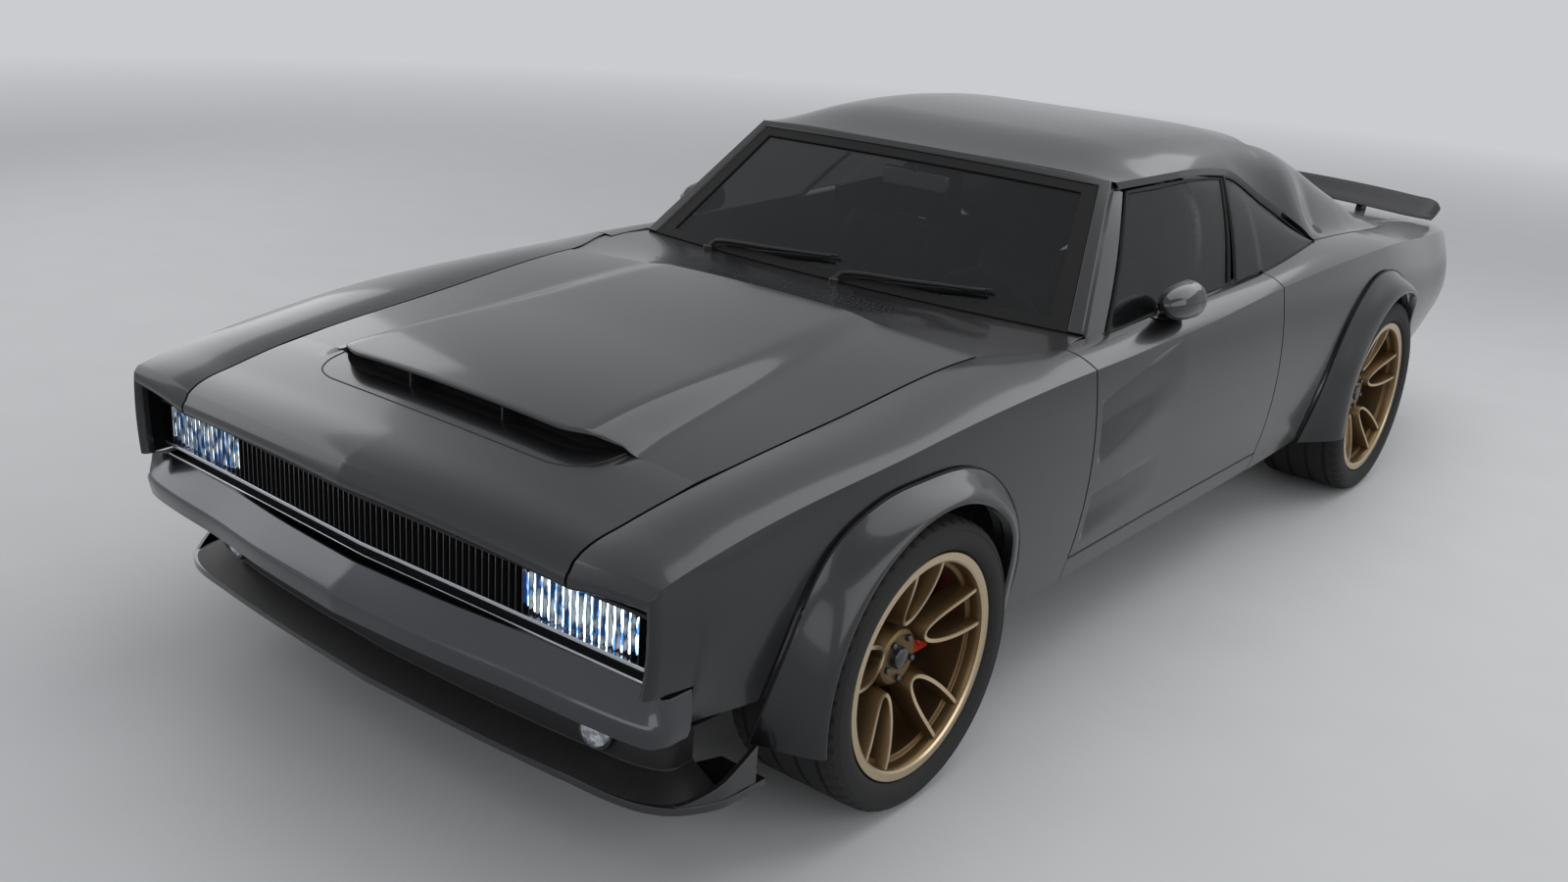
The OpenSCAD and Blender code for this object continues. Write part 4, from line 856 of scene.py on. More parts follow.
# %% [markdown]
# ## Wide wheel flares
# The flares are separate mouldings: a soft bulge that leaves the side at a visible seam and rolls into a
# lip over the tyre. Sections round the wheel follow a quarter sine wave, which leaves the side gently and
# meets the lip square. Towards the rear end the lip draws in to the body. A thin rubber piping lies in
# the seam.

# %% Flares and their piping
# Columns: degrees round the wheel from the front, how far the seam lies outside the opening
front_flare_rows = [[-8, 64], [20, 72], [45, 88], [68, 66], [90, 48], [124, 80], [155, 88], [188, 80]]
rear_flare_rows = [[-8, 150], [25, 150], [60, 105], [90, 75], [120, 52], [150, 38], [188, 38]]
lip_share = 0.92


def flare_grids(rows, wheel_y, wheel_z, arch_r, last):
    """The flare's outer and inner faces and its seam."""
    a = np.linspace(rows[0][0], last, 85)
    rad = np.radians(a)[:, None]
    root = arch_r + at(rows, 1, a)[:, None]
    t = np.linspace(0, 1, 19)[None] ** 0.85
    dist = mix(root, arch_r, t)
    y, z = wheel_y - dist * np.cos(rad), wheel_z + dist * np.sin(rad)
    far_y, far_z = wheel_y - root * np.cos(rad), wheel_z + root * np.sin(rad)
    far_x = side_x(far_y, far_z) + 2.6
    rise = np.sin(np.clip(t / lip_share, 0, 1) * math.pi / 2) ** 1.25
    lip = lip_x - 66 * smooth((a[:, None] - last + 56) / 56)
    x = mix(far_x + 7, lip, rise) - 5 * smooth((t - lip_share) / (1 - lip_share))
    outer = np.stack([x, y, z], -1)
    inner = outer.copy()
    inner[..., 0] -= mix(6.0, 26.0, smooth(t))
    return outer, inner, np.stack([far_x + 5, far_y, far_z], -1)[:, 0]


for name, rows, wheel_y, wheel_z, arch_r, last in (
        ("front", front_flare_rows, axle_f, front_wheel_z, front_arch_r, 184),
        ("rear", rear_flare_rows, axle_r, rear_wheel_z, rear_arch_r, 160)):
    outer, inner, seam_path = flare_grids(rows, wheel_y, wheel_z, arch_r, last)
    for side, turn in SIDES:
        piece(f"flare_{name}_{side}", shell("flare", on_side(outer, turn), on_side(inner, turn)), charcoal,
              replaces=f"{name}_flares", bevel=2.0, crease=40)
    piping = [loft(tube_rings(on_side(seam_path, turn), 3.4, 8)) for _, turn in SIDES]
    piece(f"piping_{name}", joined(piping), seal_rubber)
report("flare_front_left", "flare_rear_left", "piping_front")

# %% [markdown]
# ## Bonnet
# The bonnet is crowned across the car, and its front edge is a shallow V. On it lies a raised centre that
# begins at a wide intake and fades out towards the windscreen. These functions give the height of the
# plain sheet, the height of the raised part and how far the intake's rounded ends lie behind its middle.

# %% Bonnet surface
scoop_y = axle_f - 500
bulge_half, bulge_h = 480, 48
bonnet_swing = 1.2
nose_point = 36


def bonnet_half(y):
    return belt_x(y) - shut_gap - bonnet_swing


def bonnet_base(x, y):
    crown = mix(20, 27, (y - nose_y) / (bonnet_rear - nose_y))
    return belt_z(y) + crown * (1 - (x / bonnet_half(y)) ** 2)


def bulge(x, y):
    run = (y - scoop_y) / (bonnet_rear - scoop_y)
    w = mix(bulge_half, bulge_half * 0.8, run)
    h = mix(bulge_h, 10, smooth((y - scoop_y) / (bonnet_rear - 40 - scoop_y)))
    return h * (1 - np.clip(1.04 * ramp((np.abs(x) - w + 52) / 74, 0.05) - 0.02, 0, 1))


def mouth_sweep(x, y):
    """How far the intake's rounded ends lie behind its middle; it fades out along the bulge."""
    return 64 * np.clip((np.abs(x) - 330) / 150, 0, 1) ** 2 * (1 - smooth((y - scoop_y) / 190))


print("bonnet", round(2 * float(bonnet_half(bonnet_rear))), "mm wide at its rear edge")

# %% [markdown]
# The intake is part of the same sheet. The rows of the grid run along the bonnet to the intake, in under
# the raised part as its floor, and back out along its ceiling to the raised edge, so the opening is truly
# hollow. Outside the raised part these rows lie on each other, and the mesh helper merges them.

# %% Bonnet rows
bonnet_s = np.concatenate([-np.linspace(1, 0, 91)[:-1], np.linspace(0, 1, 91)])
rows, tags = [], []
# Columns: back, up, share of the bulge's height, material, where 1 paints shade inside the intake
MOUTH = [(0, 0, 0, 0), (7, -5, 0, 1), (60, -11, 0, 1), (118, -13, 0, 1), (121, -13, 0.5, 1), (118, -13, 1, 1),
         (60, -11, 1, 1), (10, -10, 1, 1), (-4, -11, 1, 0), (-7, -7, 1, 0), (-6, -2.5, 1, 0), (-1, 0, 1, 0)]
mouth_edge = 505


def bonnet_row(y, dy=0.0, z=None, tag=0):
    x = bonnet_s * bonnet_half(y)
    point = -nose_point * (1 - np.abs(bonnet_s)) * (1 - smooth((y - nose_y) / 220))
    rows.append(np.stack([x, y + point + dy, bonnet_base(x, y) if z is None else z], -1))
    tags.append(tag)


nose_z = bonnet_base(bonnet_s * bonnet_half(nose_y), nose_y)
for back, drawn in NOSE_FOLD:
    bonnet_row(nose_y, back, nose_z - drawn)
for y in np.concatenate([nose_y + np.array([18, 26, 35, 45, 60]), spaced(nose_y + 76, scoop_y - 4)]):
    bonnet_row(y)
scoop_x = bonnet_s * bonnet_half(scoop_y)
sweep = mouth_sweep(scoop_x, scoop_y)
base = bonnet_base(scoop_x, scoop_y + sweep)
lift = bulge(scoop_x, scoop_y)
open_share = lift / bulge_h
for i, (dy, dz, up, tag) in enumerate(MOUTH):
    bonnet_row(scoop_y, sweep + dy * open_share + 0.08 * i, base + dz * open_share + up * lift, tag)
for y in np.concatenate([scoop_y + np.array([9, 18]), spaced(scoop_y + 30, bonnet_rear)]):
    x = bonnet_s * bonnet_half(y)
    sweep = mouth_sweep(x, y)
    bonnet_row(y, sweep, bonnet_base(x, y + sweep) + bulge(x, y))
bonnet_outer = np.array(rows)
print("bonnet grid", bonnet_outer.shape[:2])

# %% [markdown]
# The inner face is the plain sheet without the bulge. Two thin blades stand in the intake, and a fine
# line of painted shade in front of it marks the edge of the plate that the intake is fixed to.

# %% Bonnet pieces
bonnet_inner = bonnet_outer.copy()
lip_back = nose_y + nose_back - nose_point * (1 - np.abs(bonnet_s))
bonnet_inner[..., 1] = np.maximum(bonnet_inner[..., 1], lip_back)
bonnet_inner[..., 2] = bonnet_base(bonnet_inner[..., 0], np.maximum(bonnet_inner[..., 1], nose_y)) - sheet
bonnet_inner[:5, :, 2] = bonnet_outer[:5, :, 2]
in_mouth = np.abs(bonnet_s[:-1]) * bonnet_half(scoop_y) <= mouth_edge
bonnet_tags = np.where(in_mouth[None], np.array(tags)[:-1, None], 0)
# Inside the intake the sheet takes the painted shade black.
piece("skin_hood", shell("hood", bonnet_outer, bonnet_inner, bonnet_tags, 2),
      [charcoal, black_and_painted_shade, underbody], body="hood", replaces="hood", bevel=1.6, crease=40)
scoop_floor = float(belt_z(scoop_y))
divider = block((158, scoop_y + 4, scoop_floor + 12), (162, scoop_y + 90, scoop_floor + 54))
piece("scoop_blades", both(divider), gunmetal, body="hood", bevel=0.8)
plate_line = across_car([(486, 66), (476, 10), (440, -40), (360, -64)], (0, -70)) + [0, scoop_y]
plate_line = smooth_path(plate_line, 160)
plate_line = np.column_stack([plate_line, bonnet_base(plate_line[:, 0], plate_line[:, 1]) - 0.6])
piece("scoop_plate_line", loft(tube_rings(plate_line, 2.2, 8)), black_and_painted_shade, body="hood")
report("skin_hood", "scoop_blades", "scoop_plate_line")

# %% [markdown]
# ## Windscreen, cowl and wipers
# The glass is one curved sheet, so its frame, its black border and the glass itself are cut from one
# surface with two directions: across and up. That keeps them parallel without any fitting.

# %% Windscreen surface
screen_base = np.array([802, door_front + 172, 902.0])
screen_top = np.array([642, roof_y0 - 4, roof_height - 94.0])
lean = math.atan2(screen_top[1] - screen_base[1], screen_top[2] - screen_base[2])


def screen(u, v, lift=0.0):
    """The screen's points: u across from -1 to 1, v up from 0 to 1, lift out of the glass."""
    u, v = np.broadcast_arrays(np.asarray(u, float), np.asarray(v, float))
    x = u * mix(screen_base[0], screen_top[0], v)
    y = mix(screen_base[1], screen_top[1], v) - 58 * (1 - u**2) * (1 - 0.55 * v)
    z = mix(screen_base[2], screen_top[2], v) + 12 * (1 - u**2) * v
    return np.stack([x, y - lift * math.cos(lean), z + lift * math.sin(lean)], -1)


def round_screen(u, v, steps=30):
    """A line up one side of the screen, over the top and down the other side."""
    up = np.linspace(0, 1, steps)
    over = np.linspace(-1, 1, 2 * steps)[1:-1]
    return (np.concatenate([np.full(steps, -u), over * u, np.full(steps, u)])[:, None],
            np.concatenate([up * v, np.full(len(over), v), up[::-1] * v])[:, None])


def band(inner_edge, outer_edge, lift):
    """A band round the sides and the top of the screen, between two lines."""
    (u_in, v_in), (u_out, v_out) = round_screen(*inner_edge), round_screen(*outer_edge)
    share = np.linspace(0, 1, 5)[None]
    return screen(mix(u_in, u_out, share), mix(v_in, v_out, share), lift)


post_edges, border_edges = ((0.945, 0.95), (1, 1)), ((0.872, 0.885), (0.944, 0.949))
piece("screen_posts", shell("posts", band(*post_edges, 8), band(*post_edges, -34)), charcoal,
      replaces="windshield_frame", bevel=4, segments=3)
piece("screen_border", shell("border", band(*border_edges, 5.2), band(*border_edges, -9)), seal_rubber,
      bevel=2)
lower, strip = np.linspace(-0.944, 0.944, 60)[:, None], np.linspace(-0.004, 0.06, 5)[None]
piece("screen_lower_border", shell("lower", screen(lower, strip, 5.2), screen(lower, strip, -9)), seal_rubber,
      bevel=2)
glass_u, glass_v = np.linspace(-0.929, 0.929, 49)[:, None], np.linspace(0.011, 0.929, 25)[None]
piece("screen_glass", shell("glass", screen(glass_u, glass_v), screen(glass_u, glass_v, -6)), window_glass,
      replaces="windshield")
report("screen_posts", "screen_border", "screen_glass")

# %% [markdown]
# Between the bonnet and the glass lies the cowl, a slightly hollow panel with three rows of small holes
# for the cabin's air. Real holes would need a very fine mesh. Small dishes of painted shade set on the
# panel look the same.

# %% Cowl
cowl_ends = belt_x(bonnet_rear + np.array([0, 88, 214])) + 1.8
cowl_end = np.column_stack([[0, 0.2, 0.5, 1], [*cowl_ends, screen_base[0]]])
cowl_s, cowl_v = np.linspace(-1, 1, 81)[:, None], np.linspace(0, 1, 13)[None]
cowl_x = cowl_s * cowl_ends[0]
cowl_y = bonnet_rear + shut_gap
cowl_z = bonnet_base(cowl_s * (belt_x(cowl_y) - shut_gap), bonnet_rear) + bulge(cowl_x, bonnet_rear) - 3
cowl_front = np.stack([cowl_x, np.full_like(cowl_x, cowl_y), cowl_z], -1)
cowl_grid = mix(cowl_front, screen(cowl_s, 0.0) - [0, 0.5, 0.5], cowl_v[..., None])
cowl_grid[..., 0] = cowl_s * at(cowl_end, 1, cowl_v)
cowl_grid[..., 2] -= 9 * np.sin(math.pi * cowl_v) * (1 - cowl_s**4)
piece("cowl_panel", shell("cowl", cowl_grid, cowl_grid - [0, 0, sheet]), charcoal, replaces="cowl", bevel=2)


def on_grid(grid, row, column):
    """The point of a grid at a row and a column that may lie between two."""
    i, j = int(row), int(column)
    line = mix(grid[i], grid[i + 1], row - i)
    return mix(line[j], line[j + 1], column - j)


holes = []
for row_at, v in enumerate((0.34, 0.46, 0.58)):
    for s in np.linspace(-0.62, 0.62, 58) + 0.0105 * (row_at % 2):
        spot = on_grid(cowl_grid, (s + 1) * 40, v * 12)
        holes.append(turned([(4.2, 0.5), (3.0, 0.7), (0.4, 0.6)], spot, "z", 10))
piece("cowl_holes", joined(holes), black_and_painted_shade)
report("cowl_panel", "cowl_holes")

# %% [markdown]
# Each wiper is a bent arm, a thin rubber blade that lies on the glass and a round foot. All three take
# their places from the screen's own surface, so the blade can't leave the glass.

# %% Wipers
arms = []
for start, end in ((-0.62, -0.05), (0.02, 0.62)):
    path = [screen(start, -0.01, 12), screen(start + 0.02, 0.04, 18), screen(mix(start, end, 0.5), 0.085, 19),
            screen(end, 0.13, 17)]
    arms.append(loft(tube_rings(smooth_path(path, 30), np.linspace(8, 5, 30), 10)))
    blade_path = [screen(mix(start, end, t), 0.03 + 0.115 * t, 9.5) for t in np.linspace(0.12, 1.04, 24)]
    arms.append(loft(tube_rings(blade_path, 4.2, 8)))
    arms.append(turned([(17, -6), (17, 8), (12, 12), (0.5, 12)], screen(start, -0.012, 8), "z", 24))
piece("wiper_arms", joined(arms), black_satin, replaces="wipers", bevel=0.6)
report("wiper_arms")

# %% [markdown]
# ## Roof and rear pillars
# The roof runs without a seam into two sail-like rear pillars, with the rear window sunk between them.
# Across the car a high power keeps the roof almost flat and turns it down sharply at the sides.


# %% Roof sheet
def crown_z(y):
    return roof_height - at(roof_rows, 1, y)


def roof_power(y):
    """How square the roof's section is: squarer towards the rear."""
    return mix(6.0, 8.0, np.clip((y - roof_y0) / (roof_y1 - roof_y0), 0, 1))


fold = np.linspace(0, 1, 33)
eased = 1 - (1 - fold) ** 1.5
rail_out, rail_up = 4, 6
ridge_share = pillar(1, roof_y1) / (rail_x(roof_y1) + rail_out)
share = np.concatenate([np.linspace(0, ridge_share, 13)[:-1], mix(ridge_share, 1, eased)])
roof_y = spaced(roof_y0, door_front + 840, pillar_y0, roof_y1, step=18)[:, None]
roof_x = (rail_x(roof_y) + rail_out) * share
roof_z = mix(crown_z(roof_y), rail_z(roof_y) + rail_up, share ** roof_power(roof_y))
half_roof = np.stack([roof_x, np.broadcast_to(roof_y, roof_x.shape), roof_z], -1)
roof_grid = np.concatenate([on_side(half_roof[:, :0:-1], -1), half_roof], 1)
roof_inner = roof_grid - [0, 0, sheet]
roof_inner[0, :, 1] += 27
print("roof grid", roof_grid.shape[:2])

# %% [markdown]
# A sail is swept between two lines: its ridge, beside the window, and its foot, which leaves the roof
# rail and lies down on the quarter. The ridge carries on the roof's slope for a moment, so that no bump
# shows there.

# %% Lines of the sails
pillar_y = spaced(roof_y1, axle_r - 400, axle_r, axle_r + 360, pillar_y1, step=14)[:, None]
behind = pillar_y - roof_y1
on_body = smooth((pillar_y - (axle_r - 450)) / 70)
deck_room = 1.5
foot_x = mix(rail_x(pillar_y) + rail_out, pillar(5, pillar_y), on_body)
foot_z = mix(rail_z(pillar_y) + rail_up, top_z(pillar(5, pillar_y), pillar_y) + deck_room, on_body)
roof_end = half_roof[-2:, -len(fold), 2]
roof_fall = (roof_end[1] - roof_end[0]) / (roof_y[-1] - roof_y[-2])
ridge_x = pillar(1, pillar_y)
ridge_z = mix(roof_end[1] + roof_fall * behind, pillar_down(2, pillar_y), smooth(behind / 80))
print("sails run", round(float(behind[-1, 0])), "mm behind the roof")

# %% [markdown]
# Between the two lines the section changes from the roof's own curve to a hollow one: a cubic curve that
# leaves the ridge steeply and arrives flat on the quarter, as a fillet does. At its tail the sail runs
# out level.

# %% Sections of the sails
start = (ridge_x / foot_x) ** roof_power(roof_y1)
round_x = mix(ridge_x, foot_x, eased)
round_z = mix(ridge_z, foot_z, ((round_x / foot_x) ** roof_power(roof_y1) - start) / (1 - start))
arrive = mix(2.5, 0.1, smooth(behind / 340))
reach = 0.36 * np.hypot(foot_x - ridge_x, ridge_z - foot_z)
bend_x = [ridge_x, ridge_x + reach * 0.91, foot_x - reach / np.hypot(1, arrive), foot_x]
bend_z = [ridge_z, ridge_z - reach * 0.41, foot_z + reach * arrive / np.hypot(1, arrive), foot_z]
weights = [(1 - fold) ** 3, 3 * fold * (1 - fold) ** 2, 3 * fold**2 * (1 - fold), fold**3]
swept = smooth(behind / 170)
sail_x = mix(round_x, sum(w * b for w, b in zip(weights, bend_x)), swept)
sail_z = mix(round_z, sum(w * b for w, b in zip(weights, bend_z)), swept)
sail = np.stack([sail_x, np.broadcast_to(pillar_y, sail_x.shape), sail_z], -1)
low_x = mix(rail_x(pillar_y) - 34, np.maximum(belt_x(pillar_y) + 3, pillar(3, pillar_y) + 4), on_body)
low_z = mix(rail_z(pillar_y) + 2, top_z(low_x, pillar_y) + deck_room, on_body)
inside = np.stack([mix(pillar(3, pillar_y), low_x, fold), sail[..., 1],
                   mix(pillar_down(4, pillar_y), low_z, fold)], -1)
inside = mix(sail - [0, 0, sheet], inside, smooth(behind / 60)[..., None])
run_out = smooth((pillar_y - pillar_y1 + 220) / 220)
deck_under = top_z(np.maximum(sail[..., 0], belt_x(pillar_y) + 3), pillar_y)
sail[..., 2] = mix(sail[..., 2], deck_under + 1.2, run_out)
inside[..., 2] = mix(inside[..., 2], deck_under - 4, run_out)
sail[0], inside[0] = roof_grid[-1, -len(fold):], roof_inner[-1, -len(fold):]
sails = [shell_faces(on_side(sail, turn), on_side(inside, turn), None, 2) for _, turn in SIDES]
roof_and_sails = welded("roof", shell_faces(roof_grid, roof_inner, None, 1), *sails)
piece("roof_shell", roof_and_sails, [charcoal, suede, black_satin],
      replaces=("roof", "c_pillar_left", "c_pillar_right"), bevel=3, segments=3, crease=48)
report("roof_shell")

# %% [markdown]
# ## Rear window, boot lid and spoiler
# The rear window is a crowned sheet between the sails, and its black rim is a second material on the
# outermost faces. A painted strip closes the step from its lower edge to the boot lid.

# %% Rear window and deck strip
window_end = lid_front - 86
strip_y = lid_front - shut_gap


def deck_z(x, y):
    return belt_z(y) + 16 * (1 - (x / lid_half) ** 2)


def window_z(y, s):
    return pillar_down(4, y) - 4 + mix(34, 16, (y - roof_y1) / (window_end - roof_y1)) * (1 - s**2)


win_y, win_s = np.linspace(roof_y1 + 0.6, window_end - 0.6, 40)[:, None], np.linspace(-1, 1, 41)[None]
window_x = win_s * (pillar(3, win_y) - 3)
window = np.stack([window_x, np.broadcast_to(win_y, window_x.shape), window_z(win_y, win_s)], -1)
rim = np.ones((39, 40), int)
rim[2:-2, 2:-2] = 0
piece("rear_glass", shell("rear_glass", window, window - [0, 0, 8], rim), [window_glass, seal_rubber],
      replaces="rear_window")
fill_s = win_s[0]
glass_edge = [fill_s * (pillar(3, window_end) - 3), np.full(41, window_end), window_z(window_end, fill_s)]
lid_edge = [fill_s * (belt_x(strip_y) - 2.5), np.full(41, strip_y), deck_z(fill_s * lid_half, strip_y)]
filler = mix(np.stack(glass_edge, -1), np.stack(lid_edge, -1), np.linspace(0, 1, 9)[:, None, None])
piece("deck_strip", shell("deck_strip", filler, filler - [0, 0, sheet]), charcoal, replaces="deck_filler",
      bevel=2)
report("rear_glass", "deck_strip")

# %% [markdown]
# The boot lid is a crowned sheet that folds down over the tail in a few rounded rows.

# %% Boot lid
LID_FOLD = [(2, -2), (6, -8), (8, -18), (7, -34), (4, -52), (2, -70)]  # rows: back, up
lid_y = spaced(lid_front, axle_r + 700, tail_bend, tail_y - 6)
lid_x = np.linspace(-lid_half, lid_half, 61)
lid_top = [np.stack([lid_x, np.full(61, y), deck_z(lid_x, y)], -1) for y in lid_y]
tail_line = np.stack([lid_x, np.full(61, tail_y), deck_z(lid_x, tail_y)], -1)
lid = np.array(lid_top + [tail_line + [0, *fold_by] for fold_by in LID_FOLD])
lid_in = lid.copy()
lid_in[:len(lid_y), :, 2] -= sheet
lid_in[..., 1] = np.minimum(lid_in[..., 1], tail_y - 20)
lid_in[len(lid_y):, :, 2] = np.minimum(lid_in[len(lid_y):, :, 2], deck_z(lid_x, tail_y)[None] - sheet - 2)
piece("lid_skin", shell("lid", lid, lid_in, None, 1), [charcoal, underbody], body="trunk",
      replaces="trunk_lid", bevel=2)
report("lid_skin")

# %% [markdown]
# Above the lid stands a blade with turned-down, rounded ends on four short posts. The dark gap under it
# is what sets it apart from the lid in the photo. Its upper and lower faces are two chords swept across
# the car, and a third column says how much of the ends' drop each point of the chord takes.

# %% Spoiler
spoiler_half = 745
tip_from = 0.93
ends = [[0, 0], [0.54, 0], [0.92, -2], [0.975, -12], [1, -34]]  # columns: share of the half width, drop
blade_s = np.concatenate([np.linspace(0, 0.9, 30), np.linspace(0.9, 1, 22)[1:]])
blade_s = np.concatenate([-blade_s[:0:-1], blade_s])
chord_top = smooth_path([(-150, -20, 0.15), (-142, -14, 0.15), (-60, 8, 0.8), (30, 41, 1), (40, 42, 1)], 24)
chord_low = smooth_path([(-150, -22, 0.15), (-142, -24, 0.15), (-60, -8, 0.8), (32, 28, 1), (40, 32, 1)], 24)


def blade(chord):
    s = blade_s[:, None]
    y, z, share_of_drop = chord.T
    tip = 34 * np.clip((np.abs(s) - tip_from) / (1 - tip_from), 0, 1) ** 2
    pull = tip * np.where(y < -60, (-60 - y) / 90, 0)
    over_lid = deck_z(np.minimum(np.abs(s) * spoiler_half, lid_half), tail_y - 60) + 46
    height = over_lid + at(ends, 1, np.abs(s)) * share_of_drop + z + 12 * (1 - s**2)
    return np.stack([np.broadcast_to(s * spoiler_half, height.shape), tail_y + y + pull, height], -1)


piece("spoiler_blade", shell("blade", blade(chord_top), blade(chord_low)), black_satin, body="trunk",
      replaces="spoiler", bevel=2, segments=3)
posts = []
for x in (445, 180):
    low, rear_low = float(deck_z(x, tail_y - 120)) - 1.2, float(deck_z(x, tail_y - 46)) - 0.5
    outline = [(tail_y - 122, low), (tail_y - 46, rear_low), (tail_y - 52, low + 46),
               (tail_y - 108, low + 34)]
    posts.append(both(prism(outline, x - 13, x + 13, "x")))
piece("spoiler_posts", joined(posts), black_satin, body="trunk", bevel=3)
report("spoiler_blade", "spoiler_posts")

# %% [markdown]
# ## Side windows
# The door window and the small pointed quarter window lean in towards the roof. Each pane is a skewed
# grid with a slight bow, and a black rubber frame is drawn round it as a strip along its edge. Ahead of
# the door glass the windscreen post's side face closes the corner.

# %% Panes and their frames
split_base, split_top = door_rear - 215, door_rear + 30


def pane(front_low, front_high, rear_low, rear_high, inset, gap_high, low_rise, across=40, up=16):
    """A pane between two places on the belt and two on the roof rail."""
    s, t = np.linspace(0, 1, across)[:, None], np.linspace(0, 1, up)[None]
    yl, yh = mix(front_low, rear_low, s), mix(front_high, rear_high, s)
    low = np.stack([belt_x(yl) - inset, yl, belt_z(yl) + low_rise(yl)], -1)
    high = np.stack([rail_x(yh) + 6, yh, rail_z(yh) - gap_high], -1)
    grid = mix(low, high, t[..., None])
    grid[..., 0] += 10 * np.sin(math.pi * t)
    return grid


def frame_of(grid, out=5.0, wide=11.0, deep=9.0):
    """A closed strip along the edge of a pane, standing a little out of it."""
    loop = np.concatenate([grid[:, 0], grid[-1, 1:], grid[-2::-1, -1], grid[0, -2:0:-1]])
    inward = unit(grid.reshape(-1, 3).mean(0) - loop)
    outer_edge, inner_edge = 0.35 * wide, -0.65 * wide
    corners = ((outer_edge, out), (inner_edge, out), (inner_edge, out - deep), (outer_edge, out - deep))
    return loft(np.stack([loop - inward * a + [b, 0, 0] for a, b in corners], 1), closed_path=True)


door_pane = pane(door_front + 236, roof_y0 + 66, split_base, split_top, 10, 26,
                 lambda y: np.full_like(y, 0.5))
quarter_pane = pane(split_base + 16, split_top + 16, axle_r - 425, axle_r - 430, -3, 18,
                    lambda y: np.where(y < door_rear, 10, 0.5))
for side, turn in SIDES:
    for name, grid, rider, node in (("door", door_pane, f"door_{side[0]}", f"door_glass_{side}"),
                                    ("quarter", quarter_pane, "body", "quarter_glass")):
        piece(f"{name}_window_{side}", shell("pane", on_side(grid, turn), on_side(grid - [6, 0, 0], turn)),
              window_glass, body=rider, replaces=node)
        points, faces = frame_of(grid)
        piece(f"{name}_window_frame_{side}", (on_side(points, turn), faces), seal_rubber, body=rider,
              bevel=1.5)
    edge = door_pane[0] - [4, 10, 0]
    post = screen(1.0, np.linspace(0, 1, len(edge)), -22) - [3, 0, 0]
    face = mix(post, edge, np.linspace(0, 1, 6)[:, None, None])
    post_side = shell("post_side", on_side(face, turn), on_side(face - [14, 0, 0], turn))
    piece(f"post_side_{side}", post_side, charcoal, bevel=2)
report("door_window_left", "door_window_frame_left", "quarter_window_left", "post_side_left")

# %% [markdown]
# ## Front end
# The nose is one wide, dark opening. At its back stands a row of fine upright slats above two bright
# strips, and between the outer slats the headlamps glow blue-white. One glowing plane behind the slats
# would do for a distant view. Separate bars of wandering width look like light in ribbed glass from close
# by too.

# %% Lines of the grille
face_y = nose_y + 92
grille_low, grille_high, grille_half = 491, 652, 846
bar_low = 545
lamp_from, lamp_to = 508, 815


def face_line(x):
    """Where the grille stands: a shallow V, like the bonnet's edge above it."""
    return face_y - 30 * (1 - np.abs(x) / 860)


def face_bar(x0, x1, z0, z1, out, deep):
    """A bar along the grille that begins a distance out in front of its line."""
    x = np.linspace(x0, x1, 41)
    front = face_line(x) - out
    outline = np.concatenate([np.column_stack([x, front]), np.column_stack([x, front + deep])[::-1]])
    return prism(outline, z0, z1)


def full_bar(*size):
    return face_bar(-grille_half, grille_half, *size)


def lamp_bar(x, wave):
    """A lit upright bar between two slats, its width wandering like light in ribbed glass."""
    z = np.linspace(-1, 1, 25)
    middle = (lamp_from + lamp_to) / 2
    tall = (grille_high - bar_low) / 2 * (0.97 - 0.30 * abs((x - middle) / (lamp_to - middle)) ** 4)
    half = 5.0 + 1.5 * np.sin(4.2 * z + wave) + 1.0 * np.sin(9.7 * z + 2.3 * wave)
    half = half * np.sqrt(np.clip(1 - z**8, 0.02, 1))
    y = float(face_line(x)) - 31
    height = (bar_low + grille_high) / 2 + tall * z
    ring = [(-1, 3), (-0.6, 0), (0.6, 0), (1, 3), (1, 8), (-1, 8)]
    corners = [np.broadcast_arrays(x + a * half, y + b, height) for a, b in ring]
    return loft(np.stack([np.stack(corner, -1) for corner in corners], 1))


print("lamps from", lamp_from, "to", lamp_to, "mm out")

# %% Slats, lamps and strips
slats = []
slat_x = np.linspace(-lamp_to, lamp_to, 84)
for x in slat_x:
    y = float(face_line(x))
    section = [(x - 1.2, y - 37), (x + 1.2, y - 37), (x + 2.4, y + 8), (x - 2.4, y + 8)]
    slats.append(prism(section, bar_low, grille_high))
piece("grille_slats", joined(slats), black_gloss, replaces="grille", bevel=0.5, segments=1)
# Behind the slats a black wall, darkened further as painted shade, closes the opening.
walls = [full_bar(grille_low, grille_high, -10, 20), full_bar(grille_high - 2, grille_high + 6, 44, 70)]
piece("grille_back", joined(walls), black_and_painted_shade)
strips = [full_bar(537, 546, 42, 52), full_bar(506, 512, 36, 50)]
piece("grille_strips", joined(strips), bright_trim, bevel=1.2)
between = (slat_x[:-1] + slat_x[1:]) / 2
bars = [lamp_bar(x, 1.9 * i) for i, x in enumerate(between[between > lamp_from])]
housing = face_bar(lamp_from, lamp_to, bar_low + 3, grille_high - 3, 3, 9)
piece("headlamp_bars", both(joined(bars)), lamp_glow, replaces="headlamps")
piece("headlamp_housing", both(housing), gunmetal, bevel=2)
report("grille_slats", "grille_strips", "headlamp_bars", "headlamp_housing")

# %% [markdown]
# A slim bumper wraps round under the opening, with a sloping top face that mirrors the sky, and a dark
# valance hangs below it. Bumper and valance share a kind of plan line: nearly straight across the front,
# then a short round turn back along the side. One function draws that line and sweeps a section along it.
# The tail has the same two pieces, looking the other way.

